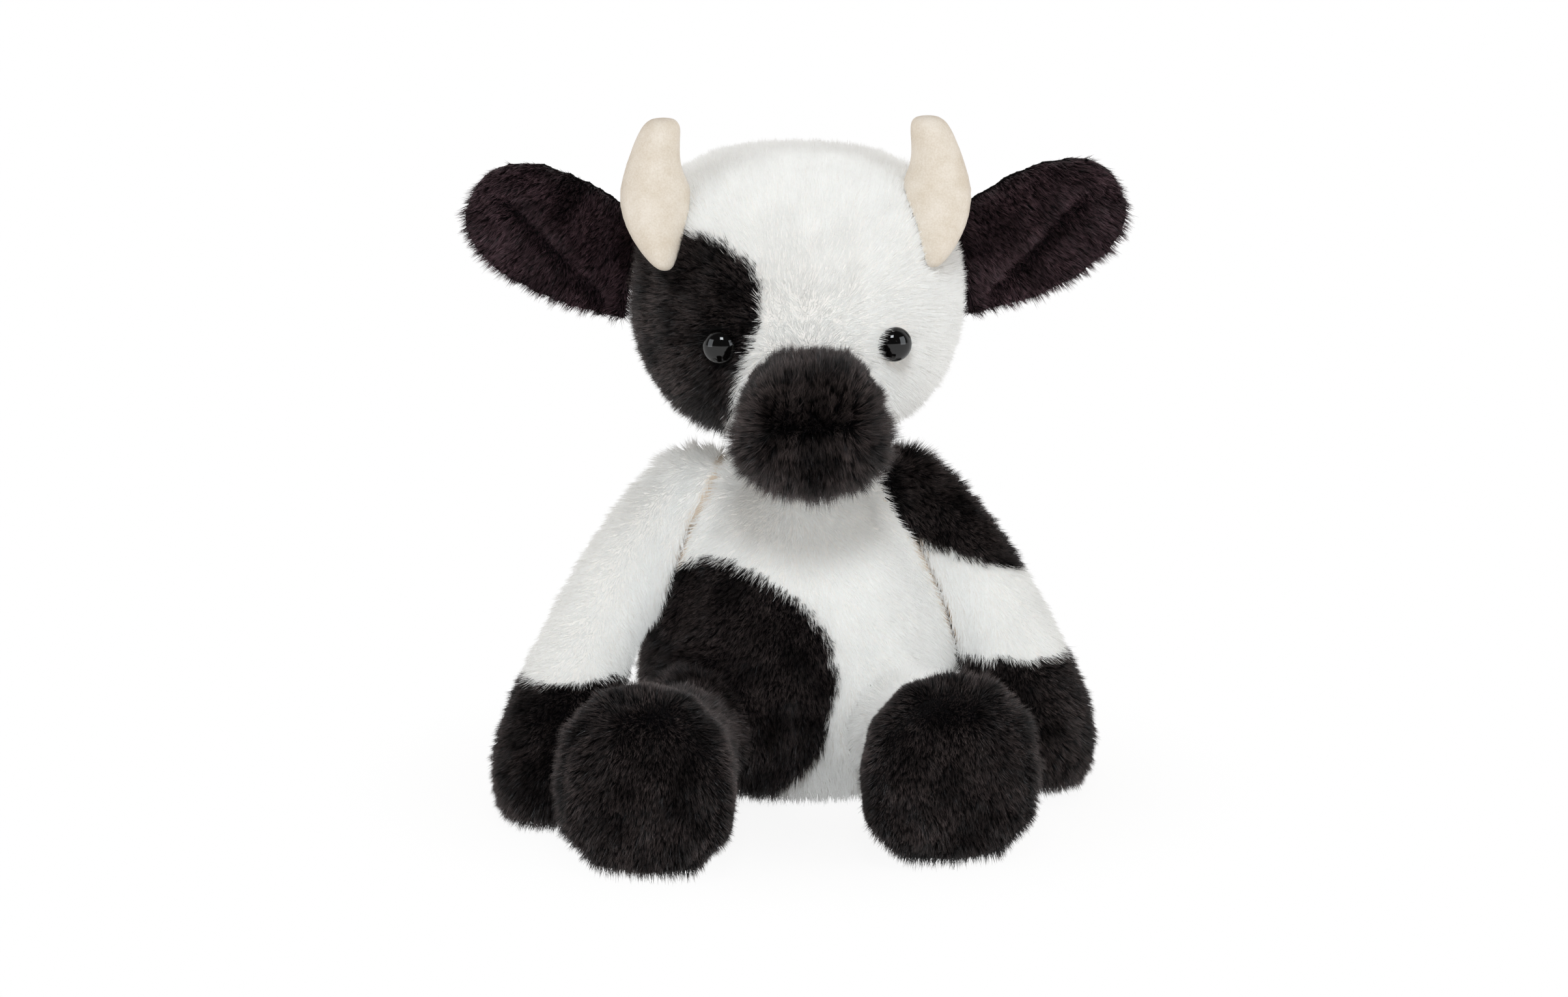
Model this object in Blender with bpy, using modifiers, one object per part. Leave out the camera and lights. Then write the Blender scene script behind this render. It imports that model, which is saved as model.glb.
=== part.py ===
"""A seated plush cow, for Blender 4.5. Metres, +Z up, the cow faces -Y and its left side is +X.

Every stuffed piece is one closed solid, as large as its pile is to the touch. The forms are cut
where their panels are sewn together, and each limb turns in a rounded seat at its own seam.
"""

import math

import bmesh
import bpy
from mathutils import Matrix, Vector
from mathutils.bvhtree import BVHTree

# Fabric, seams and running clearances
SEAM_GAP = 0.0003
PLUSH_THICKNESS = 0.005
BELLY_BACK_SHARE = -0.02
FACE_BACK_SHARE = 0.10
LIMB_GAP = 0.0016
SEAT_GAP = 0.0005
FLOOR_PRESS = 0.0005

# Torso, standing on its seat at the origin
TORSO_HEIGHT = 0.140
TORSO_WIDTH = 0.133
TORSO_DEPTH = 0.121

# Neck plug: a ball of filling that both covers close round
NECK_RADIUS = 0.021
NECK_SHOW = 0.0035
NECK_RISE = 0.0005
NECK_HEIGHT = TORSO_HEIGHT + NECK_RISE
NECK_SETBACK = 0.004

# Head, turned a little to its own left
HEAD_BASE_HEIGHT = TORSO_HEIGHT + NECK_SHOW
HEAD_HEIGHT = 0.1195
HEAD_WIDTH = 0.1385
HEAD_DEPTH = 0.120
HEAD_TURN = math.radians(4.5)

# Muzzle: the nose part over the wider chin part, the mouth is the fold between them
NOSE_WIDTH = 0.059
NOSE_HEIGHT = 0.035
NOSE_RISE = 0.0285
NOSE_CENTRE_HEIGHT = HEAD_BASE_HEIGHT + NOSE_RISE
CHIN_WIDTH = 0.064
CHIN_HEIGHT = 0.050
CHIN_RISE = 0.0115
CHIN_CENTRE_HEIGHT = HEAD_BASE_HEIGHT + CHIN_RISE
MUZZLE_REACH = 0.086
MOUTH_STEP = 0.002
MUZZLE_ROOT_REACH = 0.040

# Safety eyes: dome, ridged shank and locking washer
EYE_RADIUS = 0.007
EYE_DOME_HEIGHT = 0.005
EYE_SPREAD = 0.0348
EYE_RISE = 0.045
EYE_CENTRE_HEIGHT = HEAD_BASE_HEIGHT + EYE_RISE
EYE_STAND_OUT = 0.003
EYE_RIM = 0.0008
SHANK_RADIUS = 0.0021
SHANK_LENGTH = 0.014
SHANK_RIDGE = 0.0004
SHANK_RIDGES = 3
RIDGE_START_SHARE = 0.55
WASHER_RADIUS = 0.0065
WASHER_THICKNESS = 0.0012
WASHER_DEPTH = 0.0085

# Horns, sewn to the head in front of the ears
HORN_SPREAD = 0.055
HORN_SET_TO_RIGHT = 0.0027
HORN_ROOT_RISE = 0.0825
HORN_ROOT_HEIGHT = HEAD_BASE_HEIGHT + HORN_ROOT_RISE
HORN_FORWARD = 0.020
HORN_RISE = 0.049
HORN_BULGE = 0.012
HORN_WIDTH = 0.030
HORN_THICKNESS = 0.022

# Ears: a back and a lining, each a cupped leaf
EAR_LENGTH = 0.0695
EAR_WIDTH = 0.0545
EAR_ROOT_LENGTH = 0.046
EAR_THICKNESS = 0.009
EAR_CUP = 0.005
EAR_SEAM_SHARE = 0.4
EAR_LIFT = math.radians(25)
EAR_ROOT_LEAN = math.radians(11)
EAR_ROOT_SINK = 0.00075
EAR_ROOT_SPREAD = HEAD_WIDTH / 2 - EAR_ROOT_SINK
EAR_ROOT_RISE = 0.0705
EAR_ROOT_HEIGHT = HEAD_BASE_HEIGHT + EAR_ROOT_RISE
EAR_ROOT_SETBACK = 0.006

# Arms, from a ball in the shoulder to the paw on the floor
SHOULDER_RADIUS = 0.0212
SHOULDER_SPREAD = 0.0435
SHOULDER_DROP = 0.0215
SHOULDER_HEIGHT = TORSO_HEIGHT - SHOULDER_DROP
SHOULDER_SETBACK = 0.004
ARM_RADIUS = 0.0205
PAW_SPREAD = 0.0975
PAW_REACH = 0.016
RIGHT_PAW_FORWARD = 0.050
PATCH_END_HEIGHT = 0.098
WRIST_HEIGHT = 0.058
PATCH_SLANT = math.radians(17)
PATCH_END_SPREAD = 0.069

# Legs, lying forward from the hips
HIP_RADIUS = 0.0248
HIP_SPREAD = 0.044
HIP_REACH = 0.048
HIP_HEIGHT = 0.033
FOOT_SPREAD = 0.059
FOOT_REACH = 0.130
RIGHT_FOOT_FORWARD = 0.017
FOOT_WIDTH = 0.076
FOOT_HEIGHT = 0.082
FOOT_BULGE = 0.010
ANKLE_REACH = 0.096
LEG_RISE = 0.004
FOOT_CORNER_SHARE = 0.12
UPPER_CORNER_SHARE = 0.03
CORNER_START_SHARE = 0.45
CORNER_FULL_SHARE = 0.80
SOLE_TURN = math.radians(12)
SOLE_THICKNESS = 0.013

# Tail with its tuft
TAIL_ROOT_HEIGHT = 0.034
TAIL_ROOT_REACH = 0.0625
TAIL_RADIUS = 0.0055
TAIL_ROOT_RADIUS = 0.0068
TAIL_LENGTH = 0.044
TUFT_RADIUS = 0.0095
TUFT_LENGTH = 0.030
TUFT_LAP = 0.006
TAIL_DROP = math.radians(24)

# Counts of the coarse cages and of turned pieces
BODY_SIDES = 10
LIMB_SIDES = 6
SMALL_SIDES = 6
CAGE_LEVELS = 1
TURNED_STEPS = 12
BALL_LEVELS = 3
SMALL_BALL_LEVELS = 2
DOME_STEPS = 4
SHARP_ANGLE = math.radians(40)
CUT_OVERRUN = 0.02

# Profiles from the bottom up: share of the height, width and depth, then the lean to the back
TORSO_PROFILE_SHARES = (
    (0.000, 0.40, 0.40, 0.02),
    (0.000, 0.80, 0.78, 0.02),
    (0.080, 0.96, 0.95, 0.02),
    (0.260, 1.02, 1.02, 0.01),
    (0.460, 1.00, 0.99, 0.01),
    (0.640, 0.87, 0.88, 0.02),
    (0.800, 0.73, 0.73, 0.03),
    (0.930, 0.60, 0.58, 0.03),
    (1.000, 0.32, 0.32, 0.03),
)
HEAD_PROFILE_SHARES = (
    (0.000, 0.30, 0.30, -0.02),
    (0.035, 0.63, 0.60, -0.02),
    (0.170, 0.86, 0.83, -0.01),
    (0.350, 0.99, 0.98, 0.00),
    (0.560, 1.02, 1.02, 0.01),
    (0.770, 0.93, 0.94, 0.03),
    (0.940, 0.69, 0.72, 0.04),
    (1.000, 0.34, 0.36, 0.04),
)


# Muzzle: share of the reach, then of the width and height
MUZZLE_PROFILE_SHARES = (
    (0.00, 0.80),
    (0.45, 1.02),
    (0.74, 0.98),
    (0.94, 0.74),
    (1.00, 0.36),
)

# Horn: share of the rise, of the bulge, of the way forward, then of the width and thickness
HORN_PROFILE_SHARES = (
    (-0.18, -0.22, 1.70, 0.16, 0.35),
    (-0.08, -0.08, 1.60, 0.40, 0.60),
    (0.06, 0.00, 1.40, 0.68, 0.85),
    (0.24, 0.04, 1.15, 0.93, 1.00),
    (0.44, 0.02, 1.02, 0.98, 1.00),
    (0.60, 0.14, 1.00, 0.73, 0.88),
    (0.80, 0.02, 0.95, 0.60, 0.74),
    (0.95, -0.18, 0.90, 0.53, 0.60),
    (1.02, -0.24, 0.90, 0.32, 0.36),
)

# Ear: share of the length, of the width and thickness, then of the cup
EAR_PROFILE_SHARES = (
    (-0.04, 0.80, 0.40, 0.0),
    (0.00, 0.88, 0.80, 0.0),
    (0.20, 1.00, 1.00, 0.4),
    (0.50, 1.03, 1.00, 1.0),
    (0.80, 0.90, 0.95, 0.9),
    (0.96, 0.58, 0.70, 0.6),
    (1.02, 0.26, 0.30, 0.6),
)

# Arm: share of the way across, of the shoulder's height and of the reach, of a right angle's
# tilt, then of the arm's radius across and front to back
ARM_PROFILE_SHARES = (
    (-0.18, 1.09, 0.00, 0.40, 0.52, 0.50),
    (0.03, 1.02, 0.02, 0.42, 0.98, 0.98),
    (0.34, 0.88, 0.22, 0.52, 1.00, 0.98),
    (0.62, 0.70, 0.50, 0.64, 0.98, 0.98),
    (0.85, 0.47, 0.84, 0.72, 1.09, 1.16),
    (1.03, 0.22, 1.00, 0.94, 1.33, 1.48),
    (1.03, 0.03, 1.00, 1.00, 1.02, 1.16),
    (1.03, 0.00, 1.00, 1.00, 0.54, 0.62),
)

# Leg: share of the way to the foot, of the foot's width and height, then of its turn
LEG_PROFILE_SHARES = (
    (-0.14, 0.36, 0.32, 0.0),
    (0.04, 0.64, 0.58, 0.0),
    (0.30, 0.65, 0.60, 0.2),
    (0.58, 0.74, 0.70, 0.6),
    (0.80, 0.97, 0.96, 1.0),
    (0.96, 1.00, 1.00, 1.0),
    (1.06, 0.84, 0.86, 1.0),
    (1.10, 0.46, 0.48, 1.0),
)

# Tail and tuft: share of the length, then of the radius
TAIL_PROFILE_SHARES = (
    (-0.06, 0.60),
    (0.08, 1.00),
    (0.60, 0.84),
    (1.00, 0.70),
)
TUFT_PROFILE_SHARES = (
    (0.00, 0.70),
    (0.30, 1.04),
    (0.78, 0.78),
    (1.00, 0.36),
)

# Panel outlines as seen from the front: share across from the middle, share up
BELLY_PATCH_SHARES = (
    (-0.47, 0.672),
    (-0.36, 0.672),
    (-0.27, 0.712),
    (-0.207, 0.708),
    (-0.132, 0.690),
    (-0.062, 0.655),
    (0.024, 0.589),
    (0.088, 0.517),
    (0.100, 0.460),
    (0.113, 0.390),
    (0.096, 0.305),
    (0.078, 0.230),
    (0.045, 0.150),
    (-0.057, 0.060),
    (-0.10, -0.060),
    (-0.47, -0.060),
)
FACE_PATCH_SHARES = (
    (-0.62, 0.700),
    (-0.42, 0.690),
    (-0.34, 0.735),
    (-0.24, 0.700),
    (-0.165, 0.640),
    (-0.133, 0.560),
    (-0.133, 0.470),
    (-0.172, 0.360),
    (-0.200, 0.230),
    (-0.213, 0.120),
    (-0.210, -0.060),
    (-0.62, -0.060),
)

parts = bpy.data.collections.new("plush_cow")
cutters = bpy.data.collections.new("cutters")


def clear_scene():
    """Empties the file and links the two collections."""
    for obj in list(bpy.data.objects):
        bpy.data.objects.remove(obj)
    bpy.context.scene.collection.children.link(parts)
    bpy.context.scene.collection.children.link(cutters)


def finish_of(name, colour, roughness, metallic=0.0):
    """A plain Principled material."""
    finish = bpy.data.materials.new(name)
    finish.use_nodes = True
    shader = finish.node_tree.nodes["Principled BSDF"]
    shader.inputs["Base Color"].default_value = (*colour, 1.0)
    shader.inputs["Roughness"].default_value = roughness
    shader.inputs["Metallic"].default_value = metallic
    return finish


def object_of(name, mesh, collection=cutters):
    """Wraps mesh data in an object. Anything outside the parts collection is a helper."""
    obj = bpy.data.objects.new(name, mesh)
    collection.objects.link(obj)
    if collection is cutters:
        obj.hide_render = True
        obj.display_type = "WIRE"
    return obj


def object_from(name, bm):
    """Turns a bmesh into a helper object with its faces pointing out."""
    bmesh.ops.recalc_face_normals(bm, faces=bm.faces)
    mesh = bpy.data.meshes.new(name)
    bm.to_mesh(mesh)
    bm.free()
    return object_of(name, mesh)


def frozen(obj):
    """Replaces an object's mesh by what its modifiers make of it."""
    bpy.context.view_layer.update()
    graph = bpy.context.evaluated_depsgraph_get()
    mesh = bpy.data.meshes.new_from_object(obj.evaluated_get(graph))
    obj.modifiers.clear()
    obj.data = mesh
    return obj


def copy_of(obj, name):
    return object_of(name, obj.data.copy())


def grown(obj, name, distance):
    """A copy whose surface lies that far outside, or inside where it is negative."""
    swollen = copy_of(obj, name)
    push = swollen.modifiers.new("push", "DISPLACE")
    push.strength = distance
    push.mid_level = 0.0
    return frozen(swollen)


def boolean(obj, operation, *others):
    for other in others:
        step = obj.modifiers.new(operation, "BOOLEAN")
        step.operation = operation
        step.object = other
        frozen(obj)
    return obj


def cut(obj, *others):
    return boolean(obj, "DIFFERENCE", *others)


def cage_swell(sides):
    """A subdivided ring ends inside its cage's corners. The cage is this much wider for it."""
    return 3 / (2 + math.cos(2 * math.pi / sides))


def ring(centre, along, side, half_side, half_across):
    """Carries the unit circle to an ellipse round a centre, square to the direction along."""
    along = Vector(along).normalized()
    across = along.cross(Vector(side)).normalized()
    side = across.cross(along)
    turn = Matrix((side * half_side, across * half_across, along)).transposed()
    return Matrix.Translation(Vector(centre)) @ turn.to_4x4()


def stuffed_form(name, rings, sides):
    """A closed soft form: rings are bridged from end to end, and the cage is subdivided."""
    bm = bmesh.new()
    loops = []
    for number, matrix in enumerate(rings):
        ends = number in (0, len(rings) - 1)
        made = bmesh.ops.create_circle(
            bm, cap_ends=ends, segments=sides, radius=1, matrix=matrix
        )["verts"]
        loops.append({edge for vert in made for edge in vert.link_edges})
    for before, after in zip(loops, loops[1:]):
        bmesh.ops.bridge_loops(bm, edges=list(before | after))
    form = object_from(name, bm)
    smooth = form.modifiers.new("smooth", "SUBSURF")
    smooth.levels = CAGE_LEVELS
    smooth.render_levels = CAGE_LEVELS
    return frozen(form)


def upright_form(name, profile_shares, base, height, width, depth, setback=0.0):
    """A soft form standing on its base, from a profile of shares."""
    swell = cage_swell(BODY_SIDES)
    rings = [
        ring(
            (0, setback + lean * depth, base + up * height),
            (0, 0, 1),
            (1, 0, 0),
            wide * width / 2 * swell,
            deep * depth / 2 * swell,
        )
        for up, wide, deep, lean in profile_shares
    ]
    return stuffed_form(name, rings, BODY_SIDES)


def kept_side(obj, point, normal):
    """Cuts an object flat at a plane and keeps what lies on the side that the normal points to."""
    bm = bmesh.new()
    bm.from_mesh(obj.data)
    everything = bm.verts[:] + bm.edges[:] + bm.faces[:]
    made = bmesh.ops.bisect_plane(
        bm, geom=everything, plane_co=point, plane_no=normal, clear_inner=True
    )
    rim = [item for item in made["geom_cut"] if isinstance(item, bmesh.types.BMEdge)]
    bmesh.ops.edgeloop_fill(bm, edges=rim)
    bmesh.ops.recalc_face_normals(bm, faces=bm.faces)
    bm.to_mesh(obj.data)
    bm.free()
    return obj


def split(obj, near_name, far_name, point, normal):
    """Two panels sewn together at a plane: the near one behind it and the far one beyond it."""
    normal = Vector(normal).normalized()
    point = Vector(point)
    near = kept_side(copy_of(obj, near_name), point - normal * SEAM_GAP / 2, -normal)
    far = kept_side(copy_of(obj, far_name), point + normal * SEAM_GAP / 2, normal)
    return near, far


def ball(name, centre, radius, levels=BALL_LEVELS):
    bm = bmesh.new()
    place = Matrix.Translation(Vector(centre))
    bmesh.ops.create_icosphere(bm, subdivisions=levels, radius=radius, matrix=place)
    return object_from(name, bm)


def drum(name, centre, axis, radius, length):
    """A cylinder round a centre."""
    bm = bmesh.new()
    turn = Vector((0, 0, 1)).rotation_difference(Vector(axis)).to_matrix().to_4x4()
    bmesh.ops.create_cone(
        bm,
        cap_ends=True,
        segments=TURNED_STEPS,
        radius1=radius,
        radius2=radius,
        depth=length,
        matrix=Matrix.Translation(Vector(centre)) @ turn,
    )
    return object_from(name, bm)


def front_prism(name, outline, front, back, margin=0.0):
    """A panel outline as seen from the front, run from front to back and widened by a margin."""
    middle = sum((Vector(point) for point in outline), Vector((0, 0))) / len(outline)
    bm = bmesh.new()
    corners = []
    for point in outline:
        out = Vector(point) - middle
        x, z = Vector(point) + out.normalized() * margin
        corners.append(bm.verts.new((x, front, z)))
    face = bm.faces.new(corners)
    made = bmesh.ops.extrude_face_region(bm, geom=[face])["geom"]
    moved = [item for item in made if isinstance(item, bmesh.types.BMVert)]
    bmesh.ops.translate(bm, vec=(0, back - front, 0), verts=moved)
    return object_from(name, bm)


def turned(name, profile, steps=TURNED_STEPS):
    """A profile of (radius, height) points, listed down its outer side, turned about Z."""
    bm = bmesh.new()
    closed = profile[0] == profile[-1]
    line = [bm.verts.new((radius, 0, height)) for radius, height in profile[closed:]]
    for start, end in zip(line, line[1:] + line[:closed]):
        bm.edges.new((start, end))
    mesh = bpy.data.meshes.new(name)
    bm.to_mesh(mesh)
    bm.free()
    obj = object_of(name, mesh)
    turn = obj.modifiers.new("turn", "SCREW")
    turn.steps = steps
    turn.render_steps = steps
    turn.use_merge_vertices = True
    turn.merge_threshold = SEAM_GAP / 30
    return frozen(obj)


def placed(obj, matrix):
    """Moves an object's mesh, so that its own frame stays the cow's."""
    obj.data.transform(matrix)
    return obj


def pivot_at(name, place, parent=None):
    """An empty on a joint's axis, which carries the pieces of one moving body."""
    empty = bpy.data.objects.new(name, None)
    parts.objects.link(empty)
    empty["place"] = place
    empty.location = Vector(place)
    if parent:
        empty.parent = parent
        empty.location = Vector(place) - Vector(parent["place"])
    return empty


def finished(obj, name, finish, pivot=None):
    """Makes a helper a piece of the toy. A piece on a pivot has its origin on that axis."""
    cutters.objects.unlink(obj)
    parts.objects.link(obj)
    obj.name = name
    obj.hide_render = False
    obj.display_type = "TEXTURED"
    obj.data.materials.clear()
    obj.data.materials.append(finish)
    obj.data.shade_smooth()
    obj.data.set_sharp_from_angle(angle=SHARP_ANGLE)
    if pivot:
        obj.data.transform(Matrix.Translation(-Vector(pivot["place"])))
        obj.parent = pivot
    return obj


def flush_panel(carrier, outline, front, back, name):
    """Lets a panel of plush into a form, flush with it, behind an outline seen from the front."""
    core = grown(carrier, name + "_core", -PLUSH_THICKNESS)
    panel = copy_of(carrier, name)
    boolean(panel, "INTERSECT", front_prism(name + "_outline", outline, front, back))
    cut(panel, core)
    bed = copy_of(carrier, name + "_bed")
    swollen = grown(carrier, name + "_swollen", PLUSH_THICKNESS)
    wide = front_prism(name + "_wide", outline, front - CUT_OVERRUN, back + SEAM_GAP, SEAM_GAP)
    boolean(swollen, "INTERSECT", wide)
    cut(swollen, grown(carrier, name + "_bed_core", -PLUSH_THICKNESS - SEAM_GAP))
    cut(carrier, swollen)
    return panel


def torso_form():
    form = upright_form(
        "torso",
        TORSO_PROFILE_SHARES,
        -FLOOR_PRESS,
        TORSO_HEIGHT,
        TORSO_WIDTH,
        TORSO_DEPTH,
    )
    return kept_side(form, (0, 0, 0), (0, 0, 1))


def head_form():
    return upright_form(
        "head",
        HEAD_PROFILE_SHARES,
        HEAD_BASE_HEIGHT,
        HEAD_HEIGHT,
        HEAD_WIDTH,
        HEAD_DEPTH,
        NECK_SETBACK,
    )


def outline_of(shares, width, base, height):
    return [(across * width, base + up * height) for across, up in shares]


def muzzle_form(name, width, height, centre_height, step=0.0):
    """A round cushion on the face, stuffed towards the front. The step sets it back."""
    swell = cage_swell(LIMB_SIDES)
    length = MUZZLE_REACH - MUZZLE_ROOT_REACH
    rings = [
        ring(
            (0, step - MUZZLE_ROOT_REACH - along * length, centre_height),
            (0, -1, 0),
            (1, 0, 0),
            wide * width / 2 * swell,
            wide * height / 2 * swell,
        )
        for along, wide in MUZZLE_PROFILE_SHARES
    ]
    return stuffed_form(name, rings, LIMB_SIDES)


def muzzle_forms(head):
    """The nose part is let into the head, and the chin part into both."""
    nose = muzzle_form("nose", NOSE_WIDTH, NOSE_HEIGHT, NOSE_CENTRE_HEIGHT)
    chin = muzzle_form("chin", CHIN_WIDTH, CHIN_HEIGHT, CHIN_CENTRE_HEIGHT, MOUTH_STEP)
    cut(chin, grown(nose, "nose_room", SEAT_GAP))
    cut(nose, grown(head, "head_room", SEAM_GAP))
    cut(chin, grown(head, "head_room_below", SEAM_GAP))
    return nose, chin


def horn_form(side):
    """A broad tongue up the side of the head. Its tip is blunt and bends back in."""
    swell = cage_swell(SMALL_SIDES)
    rings = []
    for rise, bulge, forward, wide, deep in HORN_PROFILE_SHARES:
        centre = (
            side * (HORN_SPREAD + bulge * HORN_BULGE) - HORN_SET_TO_RIGHT,
            -forward * HORN_FORWARD,
            HORN_ROOT_HEIGHT + rise * HORN_RISE,
        )
        half_wide = wide * HORN_WIDTH / 2 * swell
        half_deep = deep * HORN_THICKNESS / 2 * swell
        rings.append(ring(centre, (0, 0, 1), (1, 0, 0), half_wide, half_deep))
    return stuffed_form("horn", rings, SMALL_SIDES)


def ear_root(side):
    return Vector((side * EAR_ROOT_SPREAD, EAR_ROOT_SETBACK, EAR_ROOT_HEIGHT))


def ear_axis(side, lean=EAR_ROOT_LEAN):
    """The ear bends about the line of its root, which leans back over the head."""
    return Vector((-side * math.sin(lean), 0, math.cos(lean)))


def ear_form(side):
    """A leaf from a rounded root. It is widest before the middle, and cupped to the front."""
    out = Vector((side * math.cos(EAR_LIFT), 0, math.sin(EAR_LIFT)))
    swell = cage_swell(SMALL_SIDES)
    rings = []
    for along, wide, thick, cup in EAR_PROFILE_SHARES:
        centre = ear_root(side) + out * along * EAR_LENGTH - Vector((0, cup * EAR_CUP, 0))
        axis = ear_axis(side, EAR_ROOT_LEAN + max(along, 0) * (EAR_LIFT - EAR_ROOT_LEAN))
        across = axis.cross(Vector((0, side, 0)))
        half_wide = wide * EAR_WIDTH / 2 * swell
        half_thick = thick * EAR_THICKNESS / 2 * swell
        rings.append(ring(centre, across, axis, half_wide, half_thick))
    leaf = stuffed_form("ear", rings, SMALL_SIDES)
    return boolean(leaf, "UNION", ear_roll(side, "ear_root", EAR_THICKNESS / 2, EAR_ROOT_LENGTH))


def ear_roll(side, name, radius, length):
    """A roll along the line that the ear bends about."""
    return drum(name, ear_root(side), ear_axis(side), radius, length)


def ear_layers(side, name):
    """The lining is the front half of the leaf and the back is the half behind it."""
    seam = ear_root(side) - Vector((0, EAR_CUP * EAR_SEAM_SHARE, 0))
    return split(ear_form(side), name + "_back", name + "_lining", seam, (0, -1, 0))


def ear_groove(side):
    """The groove in the head in which the ear's root turns."""
    radius = EAR_THICKNESS / 2 + SEAT_GAP
    return ear_roll(side, "ear_groove", radius, EAR_ROOT_LENGTH + 2 * SEAT_GAP)


def eye_profile(margin=0.0):
    """From the top of the dome, down its side, under it and down the ridged shank.

    With a margin it is the room that the eye and its washer need in the head.
    """
    profile = []
    for step in range(DOME_STEPS + 1):
        angle = step / DOME_STEPS * math.pi / 2
        radius = (EYE_RADIUS + margin) * math.sin(angle)
        profile.append((radius, EYE_RIM + (EYE_DOME_HEIGHT + margin) * math.cos(angle)))
    profile.append((EYE_RADIUS + margin, -margin))
    shank = SHANK_RADIUS + margin
    if margin:
        shank += SHANK_RIDGE
        wide = WASHER_RADIUS + margin
        profile.append((shank, -margin))
        profile.append((shank, margin - WASHER_DEPTH))
        profile.append((wide, margin - WASHER_DEPTH))
        profile.append((wide, -WASHER_DEPTH - WASHER_THICKNESS - margin))
        profile.append((shank, -WASHER_DEPTH - WASHER_THICKNESS - margin))
        profile.append((shank, -SHANK_LENGTH - margin))
        profile.append((0, -SHANK_LENGTH - margin))
        return profile
    profile.append((shank, 0))
    pitch = SHANK_LENGTH / SHANK_RIDGES
    for ridge in range(SHANK_RIDGES):
        profile.append((shank, -(ridge + RIDGE_START_SHARE) * pitch))
        profile.append((shank + SHANK_RIDGE, -(ridge + RIDGE_START_SHARE) * pitch))
        profile.append((shank, -(ridge + 1) * pitch))
    profile.append((0, -SHANK_LENGTH))
    return profile


def washer_profile():
    """A flat ring that locks on the shank."""
    top = -WASHER_DEPTH
    bottom = -WASHER_DEPTH - WASHER_THICKNESS
    bore = SHANK_RADIUS + SHANK_RIDGE + SEAM_GAP
    return [(bore, top), (WASHER_RADIUS, top), (WASHER_RADIUS, bottom), (bore, bottom), (bore, top)]


def eye_place(head, side):
    """Where an eye sits on the face: its dome stands a little out of the pile."""
    surface = BVHTree.FromPolygons(
        [vertex.co for vertex in head.data.vertices],
        [face.vertices for face in head.data.polygons],
    )
    start = Vector((side * EYE_SPREAD, -HEAD_DEPTH, EYE_CENTRE_HEIGHT))
    spot, normal, _, _ = surface.ray_cast(start, Vector((0, 1, 0)))
    outward = (normal.normalized() + Vector((0, -1, 0))).normalized()
    turn = Vector((0, 0, 1)).rotation_difference(outward).to_matrix().to_4x4()
    rim = spot + outward * (EYE_STAND_OUT - EYE_DOME_HEIGHT - EYE_RIM)
    return Matrix.Translation(rim) @ turn


def arm_form(side, forward):
    """From the ball in the shoulder, down and forward to the paw on the floor."""
    swell = cage_swell(LIMB_SIDES)
    rings = []
    for across, up, reach, tilt, wide, deep in ARM_PROFILE_SHARES:
        centre = (
            side * (SHOULDER_SPREAD + across * (PAW_SPREAD - SHOULDER_SPREAD)),
            SHOULDER_SETBACK - reach * (PAW_REACH + forward + SHOULDER_SETBACK),
            up * SHOULDER_HEIGHT - FLOOR_PRESS,
        )
        angle = tilt * math.pi / 2
        along = (side * math.cos(angle), 0, -math.sin(angle))
        rings.append(
            ring(centre, along, (0, 1, 0), deep * ARM_RADIUS * swell, wide * ARM_RADIUS * swell)
        )
    form = stuffed_form("arm", rings, LIMB_SIDES)
    boolean(form, "UNION", ball("shoulder", shoulder_place(side), SHOULDER_RADIUS))
    return kept_side(form, (0, 0, 0), (0, 0, 1))


def shoulder_place(side):
    return Vector((side * SHOULDER_SPREAD, SHOULDER_SETBACK, SHOULDER_HEIGHT))


def squared_foot(form, side, forward):
    """Fills the corners of a foot out to its sides, the lower ones most, where it stands."""
    half_wide, half_tall = FOOT_WIDTH / 2, FOOT_HEIGHT / 2
    for vertex in form.data.vertices:
        along = (-vertex.co.y - HIP_REACH) / (FOOT_REACH + forward - HIP_REACH)
        grade = (along - CORNER_START_SHARE) / (CORNER_FULL_SHARE - CORNER_START_SHARE)
        across = (vertex.co.x - side * FOOT_SPREAD) / half_wide
        up = (vertex.co.z + FLOOR_PRESS) / half_tall - 1
        diagonal = 2 * across * up / max(across * across + up * up, SEAM_GAP)
        corner = UPPER_CORNER_SHARE if up > 0 else FOOT_CORNER_SHARE
        fill = 1 + corner * min(max(grade, 0), 1) * diagonal * diagonal
        vertex.co.x = side * FOOT_SPREAD + across * fill * half_wide
        vertex.co.z = (up * fill + 1) * half_tall - FLOOR_PRESS
    return form


def leg_form(side, forward):
    """From the ball in the hip, forward to the foot, which is turned outwards."""
    swell = cage_swell(LIMB_SIDES)
    rings = []
    for along, wide, tall, turn in LEG_PROFILE_SHARES:
        half_tall = tall * FOOT_HEIGHT / 2
        angle = turn * SOLE_TURN
        centre = (
            side * (HIP_SPREAD + along * (FOOT_SPREAD - HIP_SPREAD)),
            -HIP_REACH - along * (FOOT_REACH + forward - HIP_REACH),
            max(HIP_HEIGHT + along * LEG_RISE, half_tall - FLOOR_PRESS),
        )
        direction = (side * math.sin(angle), -math.cos(angle), 0)
        half_wide = wide * FOOT_WIDTH / 2 * swell
        rings.append(ring(centre, direction, (0, 0, 1), half_tall * swell, half_wide))
    form = squared_foot(stuffed_form("leg", rings, LIMB_SIDES), side, forward)
    boolean(form, "UNION", ball("hip", hip_place(side), HIP_RADIUS))
    return kept_side(form, (0, 0, 0), (0, 0, 1))


def hip_place(side):
    return Vector((side * HIP_SPREAD, -HIP_REACH, HIP_HEIGHT))


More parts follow.
